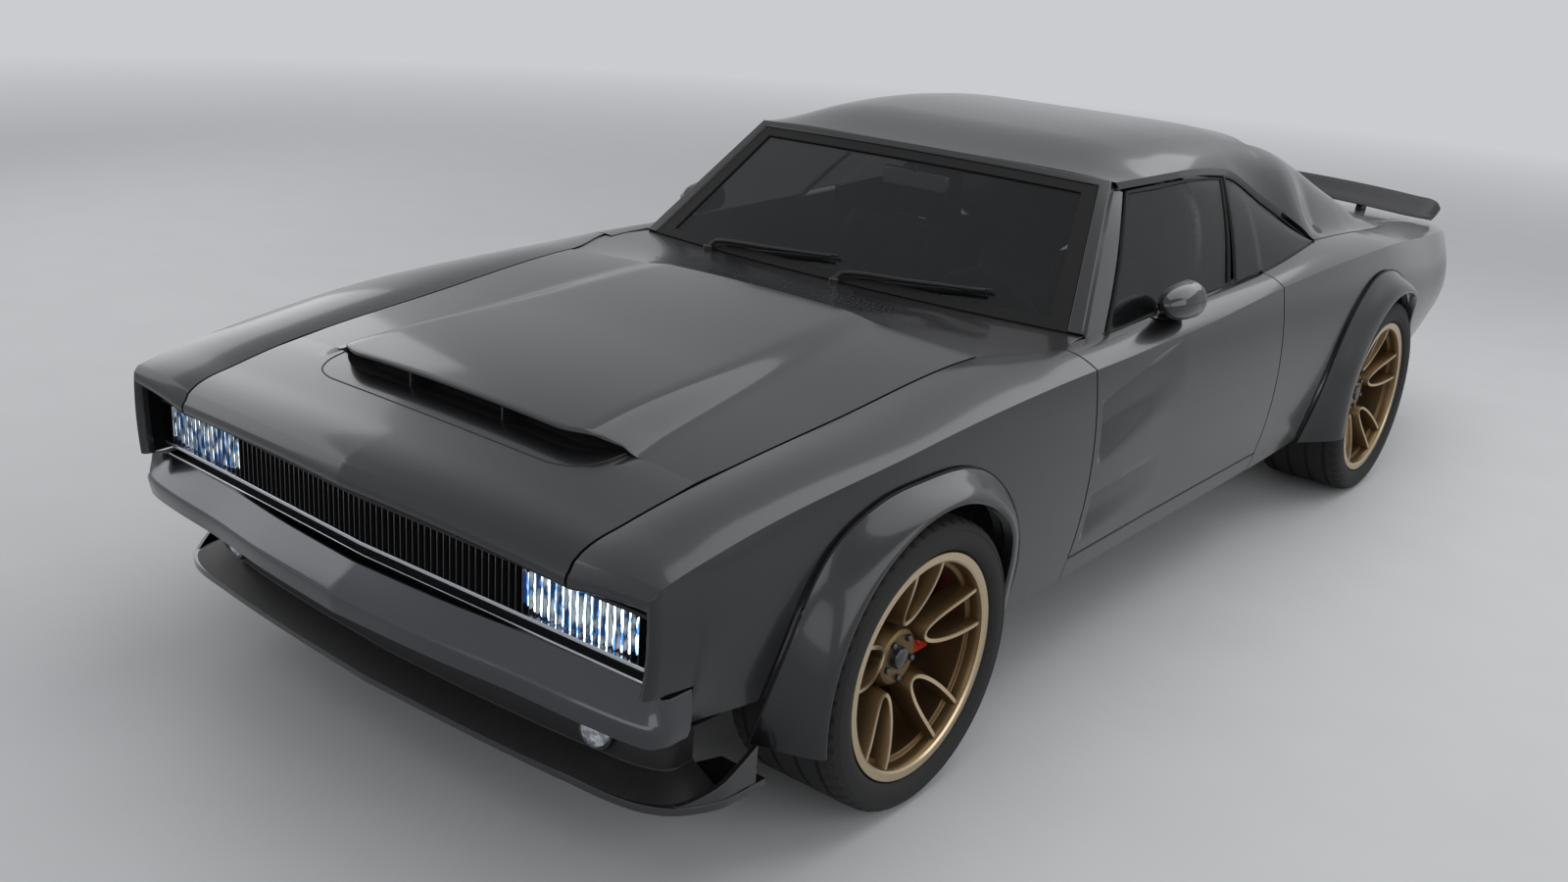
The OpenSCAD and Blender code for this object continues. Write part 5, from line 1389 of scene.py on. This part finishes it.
# %% Bumpers and valances
# Columns: share of the half width, how far back, where outside is: sideways and along the car
bumper_rows = [[0, 0, 0, -1], [0.33, 18, 0.06, -1], [0.58, 42, 0.08, -1], [0.81, 56, 0.1, -1],
               [0.93, 70, 0.3, -0.95], [0.985, 86, 0.85, -0.76], [1, 110, 1, -0.6],
               [1.001, bumper_wrap, 1, 0]]
valance_rows = [[0, 0, 0, -1], [0.4, 14, 0.06, -1], [0.7, 36, 0.1, -1], [0.88, 62, 0.3, -0.95],
                [0.965, 104, 0.72, -0.69], [1, 170, 0.96, -0.28], [1.001, 235, 1, 0]]
wrap_steps = 70


def wrapped(rows, half_width, front, section, turn, end=None):
    """Sweeps a section along a wrapped line; towards its ends it can turn into another section."""
    rows = np.asarray(rows, float)
    line = np.column_stack([rows[:, 0] * half_width, front + rows[:, 1], rows[:, 2:]])
    line = smooth_path(line, wrap_steps)
    full = np.concatenate([line[:0:-1] * [-1, 1, -1, 1], line])
    depth, z = np.asarray(section, float).T
    if end is not None:
        depth = mix(depth, np.asarray(end, float), smooth((full[:, 1:2] - front - 72) / 20))
    x = full[:, :1] + full[:, 2:3] * depth
    y = turn * (full[:, 1:2] + full[:, 3:4] * depth)
    return np.stack([x, y, np.broadcast_to(z, x.shape)], -1)


# Sections: how far out, height
bumper_face = [(-66, 506), (-62, 505.5), (-34, 480.5), (-6, 453), (-1, 447), (0, 440), (-4, 420), (-8, 400)]
bumper_back = [(-68, z) for z in (503, 500, 480, 460, 446, 436, 418, 397)]
bumper_end = [-20, -15, -12, -11, -11, -11, -13, -19]
for name, half_width, ahead, turn in (("front", 918, front_y, 1), ("rear", 800, -rear_y, -1)):
    outer = wrapped(bumper_rows, half_width, ahead, bumper_face, turn, bumper_end)
    inner = wrapped(bumper_rows, half_width, ahead, bumper_back, turn)
    piece(f"bumper_{name}", shell("bumper", outer, inner), bumper_paint, replaces=f"{name}_bumper", bevel=2.5)
front_face = [(-4, 395.7), (-30, 384), (-70, 364), (-80, 356), (-80, 256), (-60, 246), (-12, 218.3)]
rear_face = [(-4, 395.7), (-8, 370), (-14, 340), (-30, 306), (-50, 270)]
for name, half_width, ahead, turn, section, inward in (
        ("front", 884, front_y + 70, 1, front_face, (-22, 0)),
        ("rear", 780, -rear_y + 60, -1, rear_face, (-20, 3))):
    outer = wrapped(valance_rows, half_width, ahead, section, turn)
    inner = wrapped(valance_rows, half_width, ahead, np.add(section, inward), turn)
    piece(f"valance_{name}", shell("valance", outer, inner), black_satin, replaces=f"{name}_valance", bevel=2)
report("bumper_front", "bumper_rear", "valance_front", "valance_rear")

# %% [markdown]
# The splitter is a flat blade close to the road. At its ends the edge turns up into a low fin, which
# steers the air round the front wheels.

# %% Splitter
blade_low, blade_top = 200, 218
splitter_rows = [[0, 85], [380, 102], [620, 120], [778, 139], [853, 174], [892, 223], [918, 289], [922, 404]]
edge = smooth_path(splitter_rows, 80) + [0, front_y]
rear_edge = np.array([[800, 404], [760, 300], [-760, 300], [-800, 404]]) + [0, front_y]
outline = np.concatenate([edge[:0:-1] * [-1, 1], edge, rear_edge])
fin = edge[(edge[:, 1] > front_y + 185) & (edge[:, 1] < front_y + 388)]
fin_run = (fin[:, 1] - fin[0, 1]) / (fin[-1, 1] - fin[0, 1])
fin_low, fin_top = blade_top - 1, blade_top + 1 + 86 * fin_run ** 1.15
fin_rings = np.stack([np.stack(np.broadcast_arrays(fin[:, 0] + dx, fin[:, 1], z), -1)
                      for dx, z in ((-3, fin_low), (-3, fin_top), (-15, fin_top), (-15, fin_low))], 1)
piece("splitter_blade", joined([prism(outline, blade_low, blade_top), both(loft(fin_rings))]), black_gloss,
      replaces="splitter", bevel=3, segments=3)
report("splitter_blade")

# %% [markdown]
# The round lamps in the valance are turned parts, a dark ring and a domed lens, tilted to follow the
# front.

# %% Fog lamps
lamp_at = np.array([646, front_y + 190.6, 307])
lamp_tilt = math.radians(9.3)


def fog_part(profile):
    points, faces = turned(profile, (0, 0, 0), "y", flip=-1)
    return both((rotated(points, "z", lamp_tilt) + lamp_at, faces))


fog_ring = [(43, -8), (44, 12), (41, 17), (37, 17), (36, 10)]
fog_lens = [(36, 8), (33, 20), (24, 27), (12, 30.5), (0.5, 31.5)]
piece("fog_rings", fog_part(fog_ring), black_gloss, replaces="fog_lamps", bevel=0.8)
piece("fog_lenses", fog_part(fog_lens), fog_glow)
report("fog_rings", "fog_lenses")

# %% [markdown]
# The tail has four round red lamps on a dark board, each with a thin bright ring round it and a raised
# ring moulded in the lens. Between them sits a blank plate, and an apron closes the slit above the
# bumper.

# %% Tail board, lamps and plate
board_y = tail_y - 110
board_face = board_y + 22
zs = np.linspace(508, 758, 12)
half = side_x(tail_y, zs) - sheet - 4
outline = np.concatenate([np.column_stack([half, zs]), np.column_stack([-half, zs])[::-1]])
piece("tail_board", prism(outline, board_y, board_face, "y"), black_satin, replaces="tail_panel", bevel=4)
for name, finish, node, bevel, profile in (
        ("tail_lenses", tail_red, "tail_lamps", 0.0, [(58, 0), (58, 14), (52, 19), (30, 22), (0.5, 23)]),
        ("tail_rings", bright_trim, (), 0.6, [(57, 0), (66, 0), (66, 14), (62, 18), (58, 16)]),
        ("tail_cells", tail_red, (), 0.0, [(30, 21), (30, 23.6), (26, 23.8), (26, 21)])):
    parts = [turned(profile, (x, board_face + 0.4, 650), "y") for x in (400, 610)]
    piece(name, both(joined(parts)), finish, replaces=node, bevel=bevel)
plate = [(-155, 560), (155, 560), (155, 640), (-155, 640)]
piece("blank_plate", prism(plate, board_face + 0.2, board_face + 4, "y"), cast_metal, bevel=3)
apron = [(-700, 396), (700, 396), (735, 507), (-735, 507)]
piece("tail_apron", prism(apron, board_y, board_y + 12, "y"), black_satin, bevel=2)
report("tail_board", "tail_lenses", "tail_rings", "tail_cells", "blank_plate", "tail_apron")

# %% [markdown]
# ## Sills and mirrors
# The sill closes the side below the door. The mirrors are bullets turned round a line along the car, with
# a flat glass at the back and a thin stem on the door. The photo shows no door handles, so none are made.

# %% Sills
sill_room = 5.7
sill_y = spaced(door_front - sill_room, door_front + 510, door_rear + sill_room)[:, None]
sill_down = mix(sill_top, sill_z(sill_y), np.linspace(0, 1, 10)[None])
sill = np.stack([side_x(sill_y, sill_down), np.broadcast_to(sill_y, sill_down.shape), sill_down], -1)
sill_in = sill.copy()
sill_in[..., 0] = half_w - 175
for side, turn in SIDES:
    skin = shell("sill", on_side(sill, turn), on_side(sill_in, turn))
    piece(f"sill_{side}", skin, charcoal, replaces="sills", bevel=4)
report("sill_left", "sill_right")

# %% Mirrors
mirror_at = np.array([half_w - 75, door_front + 526, 962])
bullet = smooth_path([(49, 80), (53, 74), (55, 62), (54, 40), (53, 18), (46, -26), (34, -60), (18, -81),
                      (6, -87), (0.5, -88)], 40)
for side, turn in SIDES:
    rider = f"door_{side[0]}"
    centre = on_side(mirror_at, turn)
    foot_x, foot_y, _ = on_side(mirror_at + [-40, -26, 0], turn)
    base_z = float(top_z(belt_x(foot_y) + 3, foot_y))
    stem = [(24, base_z + 1), (16, base_z + 6), (11, base_z + 14), (11, 944)]
    case = joined([turned(bullet, centre, "y", 56), turned(stem, (foot_x, foot_y, 0), "z", 24)])
    piece(f"mirror_shell_{side}", case, black_gloss, body=rider, replaces=f"mirror_{side}", bevel=1)
    glass = turned([(48, 79), (48, 81.5), (0.5, 81.5)], centre, "y", 56)
    piece(f"mirror_face_{side}", glass, mirror_glass, body=rider)
report("mirror_shell_left", "mirror_face_left")

# %% [markdown]
# ## Wheels
# Each wheel is bronze. Its face is made of five U-shaped loops that dip in a hollow curve from the deep
# rim to the dark hub. Their edges are a brighter bronze. The loops could be modelled once with curves
# and a bevel profile. Here a section is swept along each loop's path, because the path also sets the dip.

# %% Loops of a wheel
FIFTHS = 2 * math.pi * np.arange(5) / 5


def loop_path(ro):
    """One loop of the face, in the wheel's plane: in along one arm, round near the hub and out again."""
    half = np.array([(50, ro - 14), (47, 0.80 * ro), (41, 0.62 * ro), (30, 0.47 * ro), (15, 0.375 * ro),
                     (0, 0.35 * ro)])
    return smooth_path(np.concatenate([half, half[-2::-1] * [-1, 1]]), 49)


def loops(ro, hw, section):
    """Five loops with a section swept along them. Section rows: across the arm, behind its face."""
    path = loop_path(ro)
    ahead = unit(np.gradient(path, axis=0))
    across = np.column_stack([-ahead[:, 1], ahead[:, 0]])
    share = np.clip((path[:, 1] - 66) / (ro - 80), 0, 1)
    face = hw - 9 - 56 * (1 - share) ** 1.35
    w, d = np.asarray(section, float).T
    place = path[:, None] + across[:, None] * w[None, :, None]
    points, faces = loft(np.stack([face[:, None] + d, place[..., 0], place[..., 1]], -1))
    return [(rotated(points, "x", angle), faces) for angle in FIFTHS]


print("points along a loop:", len(loop_path(250)))

# %% [markdown]
# The rest of a wheel is turned: the barrel with its two flanges, the hub, a cap with five nuts, and the
# brake disc behind. The disc's holes are small dishes of painted shade, as on the cowl. A profile is a
# list of radius and distance along the axle, given from the rim's radius and half its width, so that
# both wheel sizes use the same lists.


# %% Turned parts of a wheel
def rim_parts(ro, hw):
    barrel = [(ro - 14, -hw), (ro + 15, -hw), (ro + 17, -hw + 3), (ro + 17, -hw + 8), (ro + 4, -hw + 12),
              (ro - 6, -hw + 34), (ro - 6, hw - 40), (ro + 1, hw - 14), (ro + 16, hw - 9), (ro + 17, hw - 4),
              (ro + 15, hw), (ro - 3, hw), (ro - 8, hw - 4), (ro - 12, hw - 16), (ro - 13, hw - 34),
              (ro - 24, hw - 38), (ro - 26, hw - 70), (ro - 22, -hw + 30)]
    hub = [(26, hw - 72), (58, hw - 66), (66, hw - 70), (76, hw - 88), (84, hw - 110), (86, -40), (26, -40)]
    arm = [(-13, -56), (-6.2, -3), (-4.6, 0), (4.6, 0), (6.2, -3), (13, -56)]
    return [turned_ring(barrel), turned_ring(hub)] + loops(ro, hw, arm)


def edge_parts(ro, hw):
    lip = [(ro + 15, hw + 0.4), (ro - 3, hw + 0.4), (ro - 8, hw - 3.4), (ro - 7, hw - 5), (ro - 3, hw - 1),
           (ro + 15, hw - 1)]
    return [turned_ring(lip)] + loops(ro, hw, [(-4.6, -1), (-4.4, 0.5), (4.4, 0.5), (4.6, -1)])


def hub_parts(hw):
    cap = [(27, hw - 80), (27, hw - 62), (24, hw - 57), (12, hw - 54), (0.5, hw - 53)]
    nut = [(9, hw - 84), (9, hw - 62), (7, hw - 59), (0.5, hw - 59)]
    nuts = [turned(nut, (0, 50 * math.sin(a), -50 * math.cos(a)), "x", 6) for a in FIFTHS]
    return [turned(cap, (0, 0, 0), "x", 48)] + nuts


DISC = [(86, -70), (190, -70), (190, -58), (186, -57), (186, -53), (190, -52), (190, -40), (86, -40)]
disc_holes = []
for i in range(36):
    for j, r in enumerate((112, 136, 160, 178)):
        angle = 2 * math.pi * (i + 0.25 * j) / 36
        if (i + j) % 2 == 0:
            spot = (0, r * math.sin(angle), r * math.cos(angle))
            disc_holes.append(turned([(4.5, -40.5), (4.5, -39.6), (0.5, -39.6)], spot, "x", 8))
print("holes in a disc:", len(disc_holes))

# %% Four wheels
WHEELS = []
for end, tyre, x, y, z, rim_d in (("front", front_tyre, front_wheel_x, axle_f, front_wheel_z, 508),
                                  ("rear", rear_tyre, rear_wheel_x, axle_r, rear_wheel_z, 533)):
    width, _, tyre_d = tyre[1] - tyre[0]
    for side, turn in SIDES:
        name, rider, centre = end[0] + side[0], f"{end}_wheel_{side[0]}", (turn * x, y, z)
        WHEELS.append((name, rider, centre, rim_d, width, tyre_d, turn))
for name, rider, centre, rim_d, width, _, turn in WHEELS:
    ro, hw = rim_d / 2 - 0.3, width / 2 - 13
    for label, parts, finish, node, bevel in (
            ("rim", rim_parts(ro, hw), bronze, f"wheel_{name}", 1.2),
            ("rim_edges", edge_parts(ro, hw), bronze_edge, (), 0),
            ("hub_cap", hub_parts(hw), black_gloss, (), 1),
            ("disc", [turned_ring(DISC)], machined, (), 0.8),
            ("disc_holes", disc_holes, black_and_painted_shade, (), 0)):
        points, faces = joined(parts)
        piece(f"{label}_{name}", (on_side(points, turn) + centre, faces), finish, body=rider, replaces=node,
              bevel=bevel, segments=1)
report("rim_fl", "rim_edges_fl", "hub_cap_fl", "disc_fl", "disc_holes_fl")

# %% [markdown]
# ## Tyres
# A tyre is a turned shape with a real tread: four grooves round it and short sipes across each shoulder.
# The sidewall is low, as on the car, and is left without lettering. The grooves are in the turned
# profile, and the sipes come from pushing the shoulder in at every fourth step round the tyre.

# %% Tyres with tread
tread_steps = 216
sipe_deep = 6.0


def tyre_mesh(rim_d, width, tyre_d):
    ri, ro, hw = rim_d / 2, tyre_d / 2, width / 2
    bead, flat = hw - 25.5, hw - 34
    half_profile = [(ri + 0.5, bead), (ri + 17, bead + 3), (ri + 21, hw - 12), (ri + 26, hw - 6),
                    (mix(ri, ro, 0.42), hw - 0.8), (mix(ri, ro, 0.55), hw), (ro - 24, hw - 3),
                    (ro - 22, hw - 1.5), (ro - 18, hw - 4), (ro - 10, hw - 9), (ro - 4, hw - 16),
                    (ro - 1.2, hw - 26), (ro - 0.4, flat)]
    for groove in (0.74, 0.26):
        x = groove * flat / 0.9
        half_profile += [(ro + dr, x + dx) for dx, dr in ((7, 0), (5.5, -7.5), (-5.5, -7.5), (-7, 0))]
    profile = np.concatenate([half_profile, np.multiply(half_profile, [1, -1])[::-1]])
    rings = turned_rings(profile, (0, 0, 0), "x", tread_steps)
    r, d = profile.T
    shoulder = (np.abs(d) > flat * 0.92) & (np.abs(d) < hw - 14) & (r > ro - 6)
    sipe = (np.arange(tread_steps) % 4 == 0)[:, None] & shoulder
    rings[..., 1:] *= np.where(sipe, 1 - sipe_deep / ro, 1)[..., None]
    return loft(rings, closed_path=True)


for name, rider, centre, rim_d, width, tyre_d, turn in WHEELS:
    points, faces = tyre_mesh(rim_d, width, tyre_d)
    piece(f"tyre_tread_{name}", (on_side(points, turn) + centre, faces), rubber, body=rider,
          replaces=f"tyre_{name}", crease=28)
report("tyre_tread_fl", "tyre_tread_rl")

# %% [markdown]
# ## Red calipers
# A caliper straddles the disc. The solid is a plain block with a slot, so the looks add a rounded cover
# with two piston bosses on its outer side. The front ones ride with the steering, the rear ones with the
# body.

# %% Caliper covers
CALIPER = [(-35, -58), (-30, -63), (30, -63), (35, -58), (37, 0), (35, 58), (30, 63), (-30, 63),
           (-35, 58), (-37, 0)]


def caliper(x, turn_y):
    """Covers of the caliper at a wheel's half track x, behind the axle with turn_y 1, ahead of it with -1."""
    y = turn_y * 170
    outline = np.array(CALIPER) + [y, 0]
    bridge_y = y + turn_y * 26
    boss = [(19, x + 19), (19, x + 23), (15, x + 25.5), (0.5, x + 25.5)]
    return joined([prism(outline, x - 33, x + 20, "x"), prism(outline, x - 95, x - 77, "x"),
                   block((x - 80, bridge_y - 8, -56), (x - 30, bridge_y + 8, 56))]
                  + [turned(boss, (0, y, z), "x", 32) for z in (-30, 30)])


for name, _, (x, y, z), _, _, _, turn in WHEELS:
    steered = name[0] == "f"
    points, faces = caliper(abs(x), 1 if steered else -1)
    piece(f"caliper_{name}", (on_side(points, turn) + [0, y, z], faces), caliper_red,
          body=f"upright_{name[1]}" if steered else "body", bevel=2.5)
report("caliper_fl", "caliper_rl")

# %% [markdown]
# ## Cabin
# Through the tinted glass the photo shows two bucket seats with headrests, a steering wheel, a flat
# dashboard and a pale roll bar. A seat is upholstery: rounded bolsters beside a quilted centre, with
# seams where the covers are sewn together. A cloth simulation could stuff it. This leather is stretched
# tight, so each cushion is a grid shaped by a formula: crowned, raised at the bolsters and pressed in
# along the seams.

# %% Bucket seats
seat_x, seat_y = 428, door_front + 640


def cushion(name, size, crown, place, tilt, seams=4):
    """A stuffed pad on both seats: x across, y along, z thick. Place is its y and z on the car."""
    u, v = np.meshgrid(np.linspace(-1, 1, 34), np.linspace(-1, 1, 40), indexing="ij")
    wide, long, thick = size
    edge = np.clip((1 - np.abs(u) ** 5) * (1 - np.abs(v) ** 6), 0, 1) ** 0.42
    bolster = 0.55 * smooth((np.abs(u) - 0.52) / 0.2) * (1 - smooth((np.abs(u) - 0.86) / 0.16))
    quilt = np.zeros_like(u)
    for k in range(seams):
        at_v = -0.72 + 1.44 * k / (seams - 1)
        quilt -= 0.16 * np.exp(-((v - at_v) / 0.030) ** 2) * (np.abs(u) < 0.56)
    for at_u in (-0.56, 0.56):
        quilt -= 0.20 * np.exp(-((u - at_u) / 0.035) ** 2)
    top = thick * edge * (0.55 + 0.18 * np.cos(u * 1.2) + crown * bolster + quilt)
    upper = np.stack([u * wide / 2, v * long / 2, top], -1)
    under = np.stack([u * wide / 2 * 0.985, v * long / 2 * 0.985, -0.32 * thick * edge], -1)
    pads = []
    for side, turn in SIDES:
        faces = [rotated(grid, "x", math.radians(tilt)) + [turn * seat_x, *place] for grid in (upper, under)]
        pads.append(piece(f"{name}_{side[0]}", shell(name, *faces), leather, crease=60))
    return pads


seats = cushion("seat_cushion", (480, 470, 150), 0.75, (seat_y + 222, 375), 3)
cushion("seat_backrest", (480, 560, 150), 0.8, (seat_y + 545, 640), 106, 5)
cushion("headrest", (250, 190, 95), 0.2, (seat_y + 640, 985), 97, 2)
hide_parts("front_seats")
seat_side = [(6, 226), (6, 345), (470, 330), (560, 560), (640, 880), (662, 878), (600, 600), (536, 360),
             (500, 226)]
shells = []
for x in (seat_x, -seat_x):
    shells.append(prism(np.add(seat_side, [seat_y, 0]), x - 225, x + 225, "x"))
    for dx in (-60, 60):
        shells.append(loft(tube_rings([(x + dx, seat_y + 640, 850), (x + dx, seat_y + 652, 930)], 6, 10)))
piece("seat_frames", joined(shells), black_satin, bevel=12, segments=3)
report("seat_cushion_l", "seat_backrest_l", "headrest_l", "seat_frames")

# %% [markdown]
# The dashboard is one outline pushed across the car. In front of the driver a hood shades two round
# dials.

# %% Dashboard
floor_y0 = door_front - 110
dash_y = floor_y0 + 24.3
driver_x = 370
dash_outline = [(0, 620), (0, 850), (120, 862), (270, 860), (318, 846), (330, 820), (318, 785), (300, 760),
                (200, 620)]
dash = prism(smooth_path(dash_outline, 48) + [dash_y, 0], -690, 690, "x")
piece("dash_pad", dash, suede, replaces="dashboard", bevel=6, segments=3)
hood_rings = []
for a in np.linspace(0, math.pi, 15):
    x, rise = driver_x + 150 * math.cos(a), math.sin(a)
    hood_rings.append([(x, dash_y + 250, 852 + 26 * rise), (x, dash_y + 336, 850 + 34 * rise),
                       (x, dash_y + 336, 842), (x, dash_y + 250, 842)])
piece("dial_hood", loft(hood_rings), leather, bevel=3)
dial = [(40, 326), (40, 338), (34, 338), (33, 333), (0.5, 333)]
dials = [turned(dial, (driver_x + dx, dash_y, 808), "y", 40) for dx in (-50, 50)]
piece("dials", joined(dials), gunmetal, bevel=0.8)
# The air vents are thin blocks of painted shade on the dashboard's face.
vents = [block((x - 55, dash_y + 322, 800), (x + 55, dash_y + 331, 812)) for x in (-560, -120, 120, 610)]
piece("vents", joined(vents), black_and_painted_shade, bevel=2)
report("dash_pad", "dial_hood", "dials", "vents")

# %% [markdown]
# The steering wheel is drawn flat, round the upright axis, and then leaned back as a whole. The roll bar
# is a bright hoop behind the seats.

# %% Steering wheel and roll bar
hub_at = np.array([driver_x, floor_y0 + 520, 800])
tube = np.linspace(0, 2 * math.pi, 16, endpoint=False)
rim = turned_ring(np.column_stack([178 + 15 * np.cos(tube), 15 * np.sin(tube)]), "z")
hub = turned([(52, -12), (52, 8), (44, 15), (0.5, 17)], (0, 0, 0), "z", 48)
column = turned([(30, -206), (30, -12)], (0, 0, 0), "z", 32)
spoke, spoke_faces = block((30, -14, -6), (174, 14, 6))
spokes = [(rotated(spoke, "z", math.radians(a)), spoke_faces) for a in (-90, 30, 150)]
points, faces = joined([rim, hub, column] + spokes)
leaned = rotated(points, "x", math.radians(-68)) + hub_at
piece("steering_rim", (leaned, faces), leather, replaces="steering_wheel", bevel=3)
hoop_y = door_rear + 110
hoop = across_car([(600, 225), (600, 700), (585, 900), (540, 1090), (490, 1150), (420, 1172)], (0, 1180))
hoop = np.insert(smooth_path(hoop, 150), 1, hoop_y, axis=1)
along_car = np.array([0, 1.0, 0])
across = np.cross(unit(np.gradient(hoop, axis=0)), along_car)
round_tube = np.cos(tube)[:, None] * across[:, None] + np.sin(tube)[:, None] * along_car
piece("roll_bar", loft(hoop[:, None] + 21 * round_tube), tube_steel, replaces="roll_cage")
report("steering_rim", "roll_bar")

# %% Inner mirror and floor mats
mirror_spot = screen(0.0, 0.86, -70)
mirror_body = block(mirror_spot + [-120, -8, -30], mirror_spot + [120, 12, 30])
mirror_stem = loft(tube_rings([mirror_spot + [0, 0, 20], screen(0.0, 0.9, -8)], 7, 12))
piece("inner_mirror", joined([mirror_body, mirror_stem]), bright_trim, bevel=8, segments=3)
mats = [block((x0, floor_y0 + 26, 224.3), (x1, axle_r - 526, 229)) for x0, x1 in ((172, 700), (-700, -172))]
piece("floor_mats", joined(mats), carpet, bevel=2)
report("inner_mirror", "floor_mats")

# %% [markdown]
# ## Running gear and underside
# The floor, the engine block, the axles and the pipes keep their solids: they are plain machined or
# folded shapes, so a better finish is all they need.

# %% Finishes on the solids that stay
keep = {"platform": underbody, "chassis_frame": underbody, "front_subframe": underbody, "engine": cast_metal,
        "propshaft": cast_metal, "exhaust": exhaust_steel, "fuel_tank": gunmetal, "rear_axle": cast_metal,
        "rear_springs": underbody, "inner_rails": underbody, "knuckle_left": cast_metal,
        "knuckle_right": cast_metal}
for node, finish in keep.items():
    for slot_of in frame["nodes"][node].material_slots:
        slot_of.material = finish
print("solids with a new finish:", len(keep))

# %% [markdown]
# ## Studio
# The background is one pale colour. It looks brighter to the camera, in mirrors and through glass than it
# lights the car, so the shadows stay deep.

# %% Background
pale = (0.80, 0.82, 0.85, 1)
pale_light, pale_seen = 0.38, 0.74
world = bpy.data.worlds.new("studio")
bpy.context.scene.world = world
world.use_nodes = True
sky = world.node_tree
background = sky.nodes["Background"]
background.inputs["Color"].default_value = pale
rays = sky.nodes.new("ShaderNodeLightPath")
seen = rays.outputs["Is Camera Ray"]
for kind in ("Is Glossy Ray", "Is Transmission Ray"):
    total = sky.nodes.new("ShaderNodeMath")
    total.operation = "ADD"
    total.use_clamp = True
    sky.links.new(seen, total.inputs[0])
    sky.links.new(rays.outputs[kind], total.inputs[1])
    seen = total.outputs[0]
sky.links.new(spread(sky, seen, pale_light, pale_seen, 0, 1), background.inputs["Strength"])
print("background made")

# %% [markdown]
# The floor is flat, and with the distance it fades into the background's colour, so that no horizon
# shows. A curved backdrop would do the same from one side only.

# %% Floor
floor_mat, tree, bsdf = shader("studio_floor", "none", Roughness=0.6)
noise = grain(tree, 3, 4.0)
greys = two_colours(tree, noise.outputs["Fac"], (0.575, 0.585, 0.595), (0.59, 0.60, 0.61))
tree.links.new(greys, bsdf.inputs["Base Color"])
place = tree.nodes.new("ShaderNodeNewGeometry")
far = tree.nodes.new("ShaderNodeVectorMath")
far.operation = "LENGTH"
tree.links.new(place.outputs["Position"], far.inputs[0])
haze = tree.nodes.new("ShaderNodeEmission")
haze.inputs["Color"].default_value = pale
haze.inputs["Strength"].default_value = pale_seen
fade = tree.nodes.new("ShaderNodeMixShader")
tree.links.new(spread(tree, far.outputs["Value"], 0, 1, 4.5, 14), fade.inputs["Fac"])
tree.links.new(bsdf.outputs["BSDF"], fade.inputs[1])
tree.links.new(haze.outputs["Emission"], fade.inputs[2])
tree.links.new(fade.outputs["Shader"], tree.nodes["Material Output"].inputs["Surface"])
bpy.ops.mesh.primitive_plane_add(size=60, location=(0, 0, 0))
floor = bpy.context.object
floor.name = "studio_floor"
floor.data.materials.append(floor_mat)
floor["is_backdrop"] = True
print("floor made")

# %% [markdown]
# Dark paint shows its shape only by what it mirrors, so the lights are large: a broad one overhead, one
# at each side and a low one in front.


# %% Lights
def stand(obj, right, up, away, place):
    """Links an object into the scene and sets its axes and its place."""
    bpy.context.scene.collection.objects.link(obj)
    obj.matrix_world = Matrix([[right[i], up[i], away[i], place[i]] for i in range(3)] + [[0, 0, 0, 1]])


def soft_light(name, place, size, power):
    """A large rectangle of light that looks at the middle of the car."""
    light = bpy.data.lights.new(name, "AREA")
    light.shape = "RECTANGLE"
    light.size, light.size_y = size
    light.energy = power
    obj = bpy.data.objects.new(name, light)
    away = unit(np.subtract(place, (0, 0, 0.6)))
    right = unit(np.cross([0, 0, 1.0], away))
    stand(obj, right, np.cross(away, right), away, place)
    obj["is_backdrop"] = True


soft_light("top_light", (1.1, 1.7, 5.2), (6.0, 8.0), 210)
soft_light("left_light", (6.5, -1.0, 3.0), (9.0, 3.6), 130)
soft_light("right_light", (-6.5, -1.5, 3.4), (8.0, 3.2), 100)
soft_light("front_light", (1.0, -7.5, 2.6), (8.0, 2.6), 70)
print("lights:", len(bpy.data.lights))

# %% [markdown]
# The camera stands where the photographer stood: ahead of the left front wheel, looking down a little and
# slightly rolled. Its place and lens were solved from the photo together with the car's sizes.

# %% Camera
eye = (2.569, -4.347, 1.906)
azimuth, elevation, roll = np.radians([37.63, 19.23, 4.15])
ahead = np.array([-math.sin(azimuth) * math.cos(elevation), math.cos(azimuth) * math.cos(elevation),
                  -math.sin(elevation)])
right = np.array([math.cos(azimuth), math.sin(azimuth), 0])
up = np.cross(right, ahead)
lens = bpy.data.cameras.new("photo_camera")
lens.lens, lens.sensor_width, lens.sensor_fit = 34.52, 36.0, "HORIZONTAL"
lens.clip_end = 200
camera = bpy.data.objects.new("photo_camera", lens)
rolled_right = math.cos(roll) * right + math.sin(roll) * up
rolled_up = math.cos(roll) * up - math.sin(roll) * right
stand(camera, rolled_right, rolled_up, -ahead, eye)
bpy.context.scene.camera = camera
bpy.context.scene.view_settings.view_transform = "Standard"
print("camera at", eye)

# %% [markdown]
# At the end the visual model's box is written beside the solids' box, so that the two can be compared.

# %% Sizes for the record
low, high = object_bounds()
print("visual model spans", [round(b - a, 3) for a, b in zip(low, high)], "m;", sum(made.values()),
      "faces before modifiers")
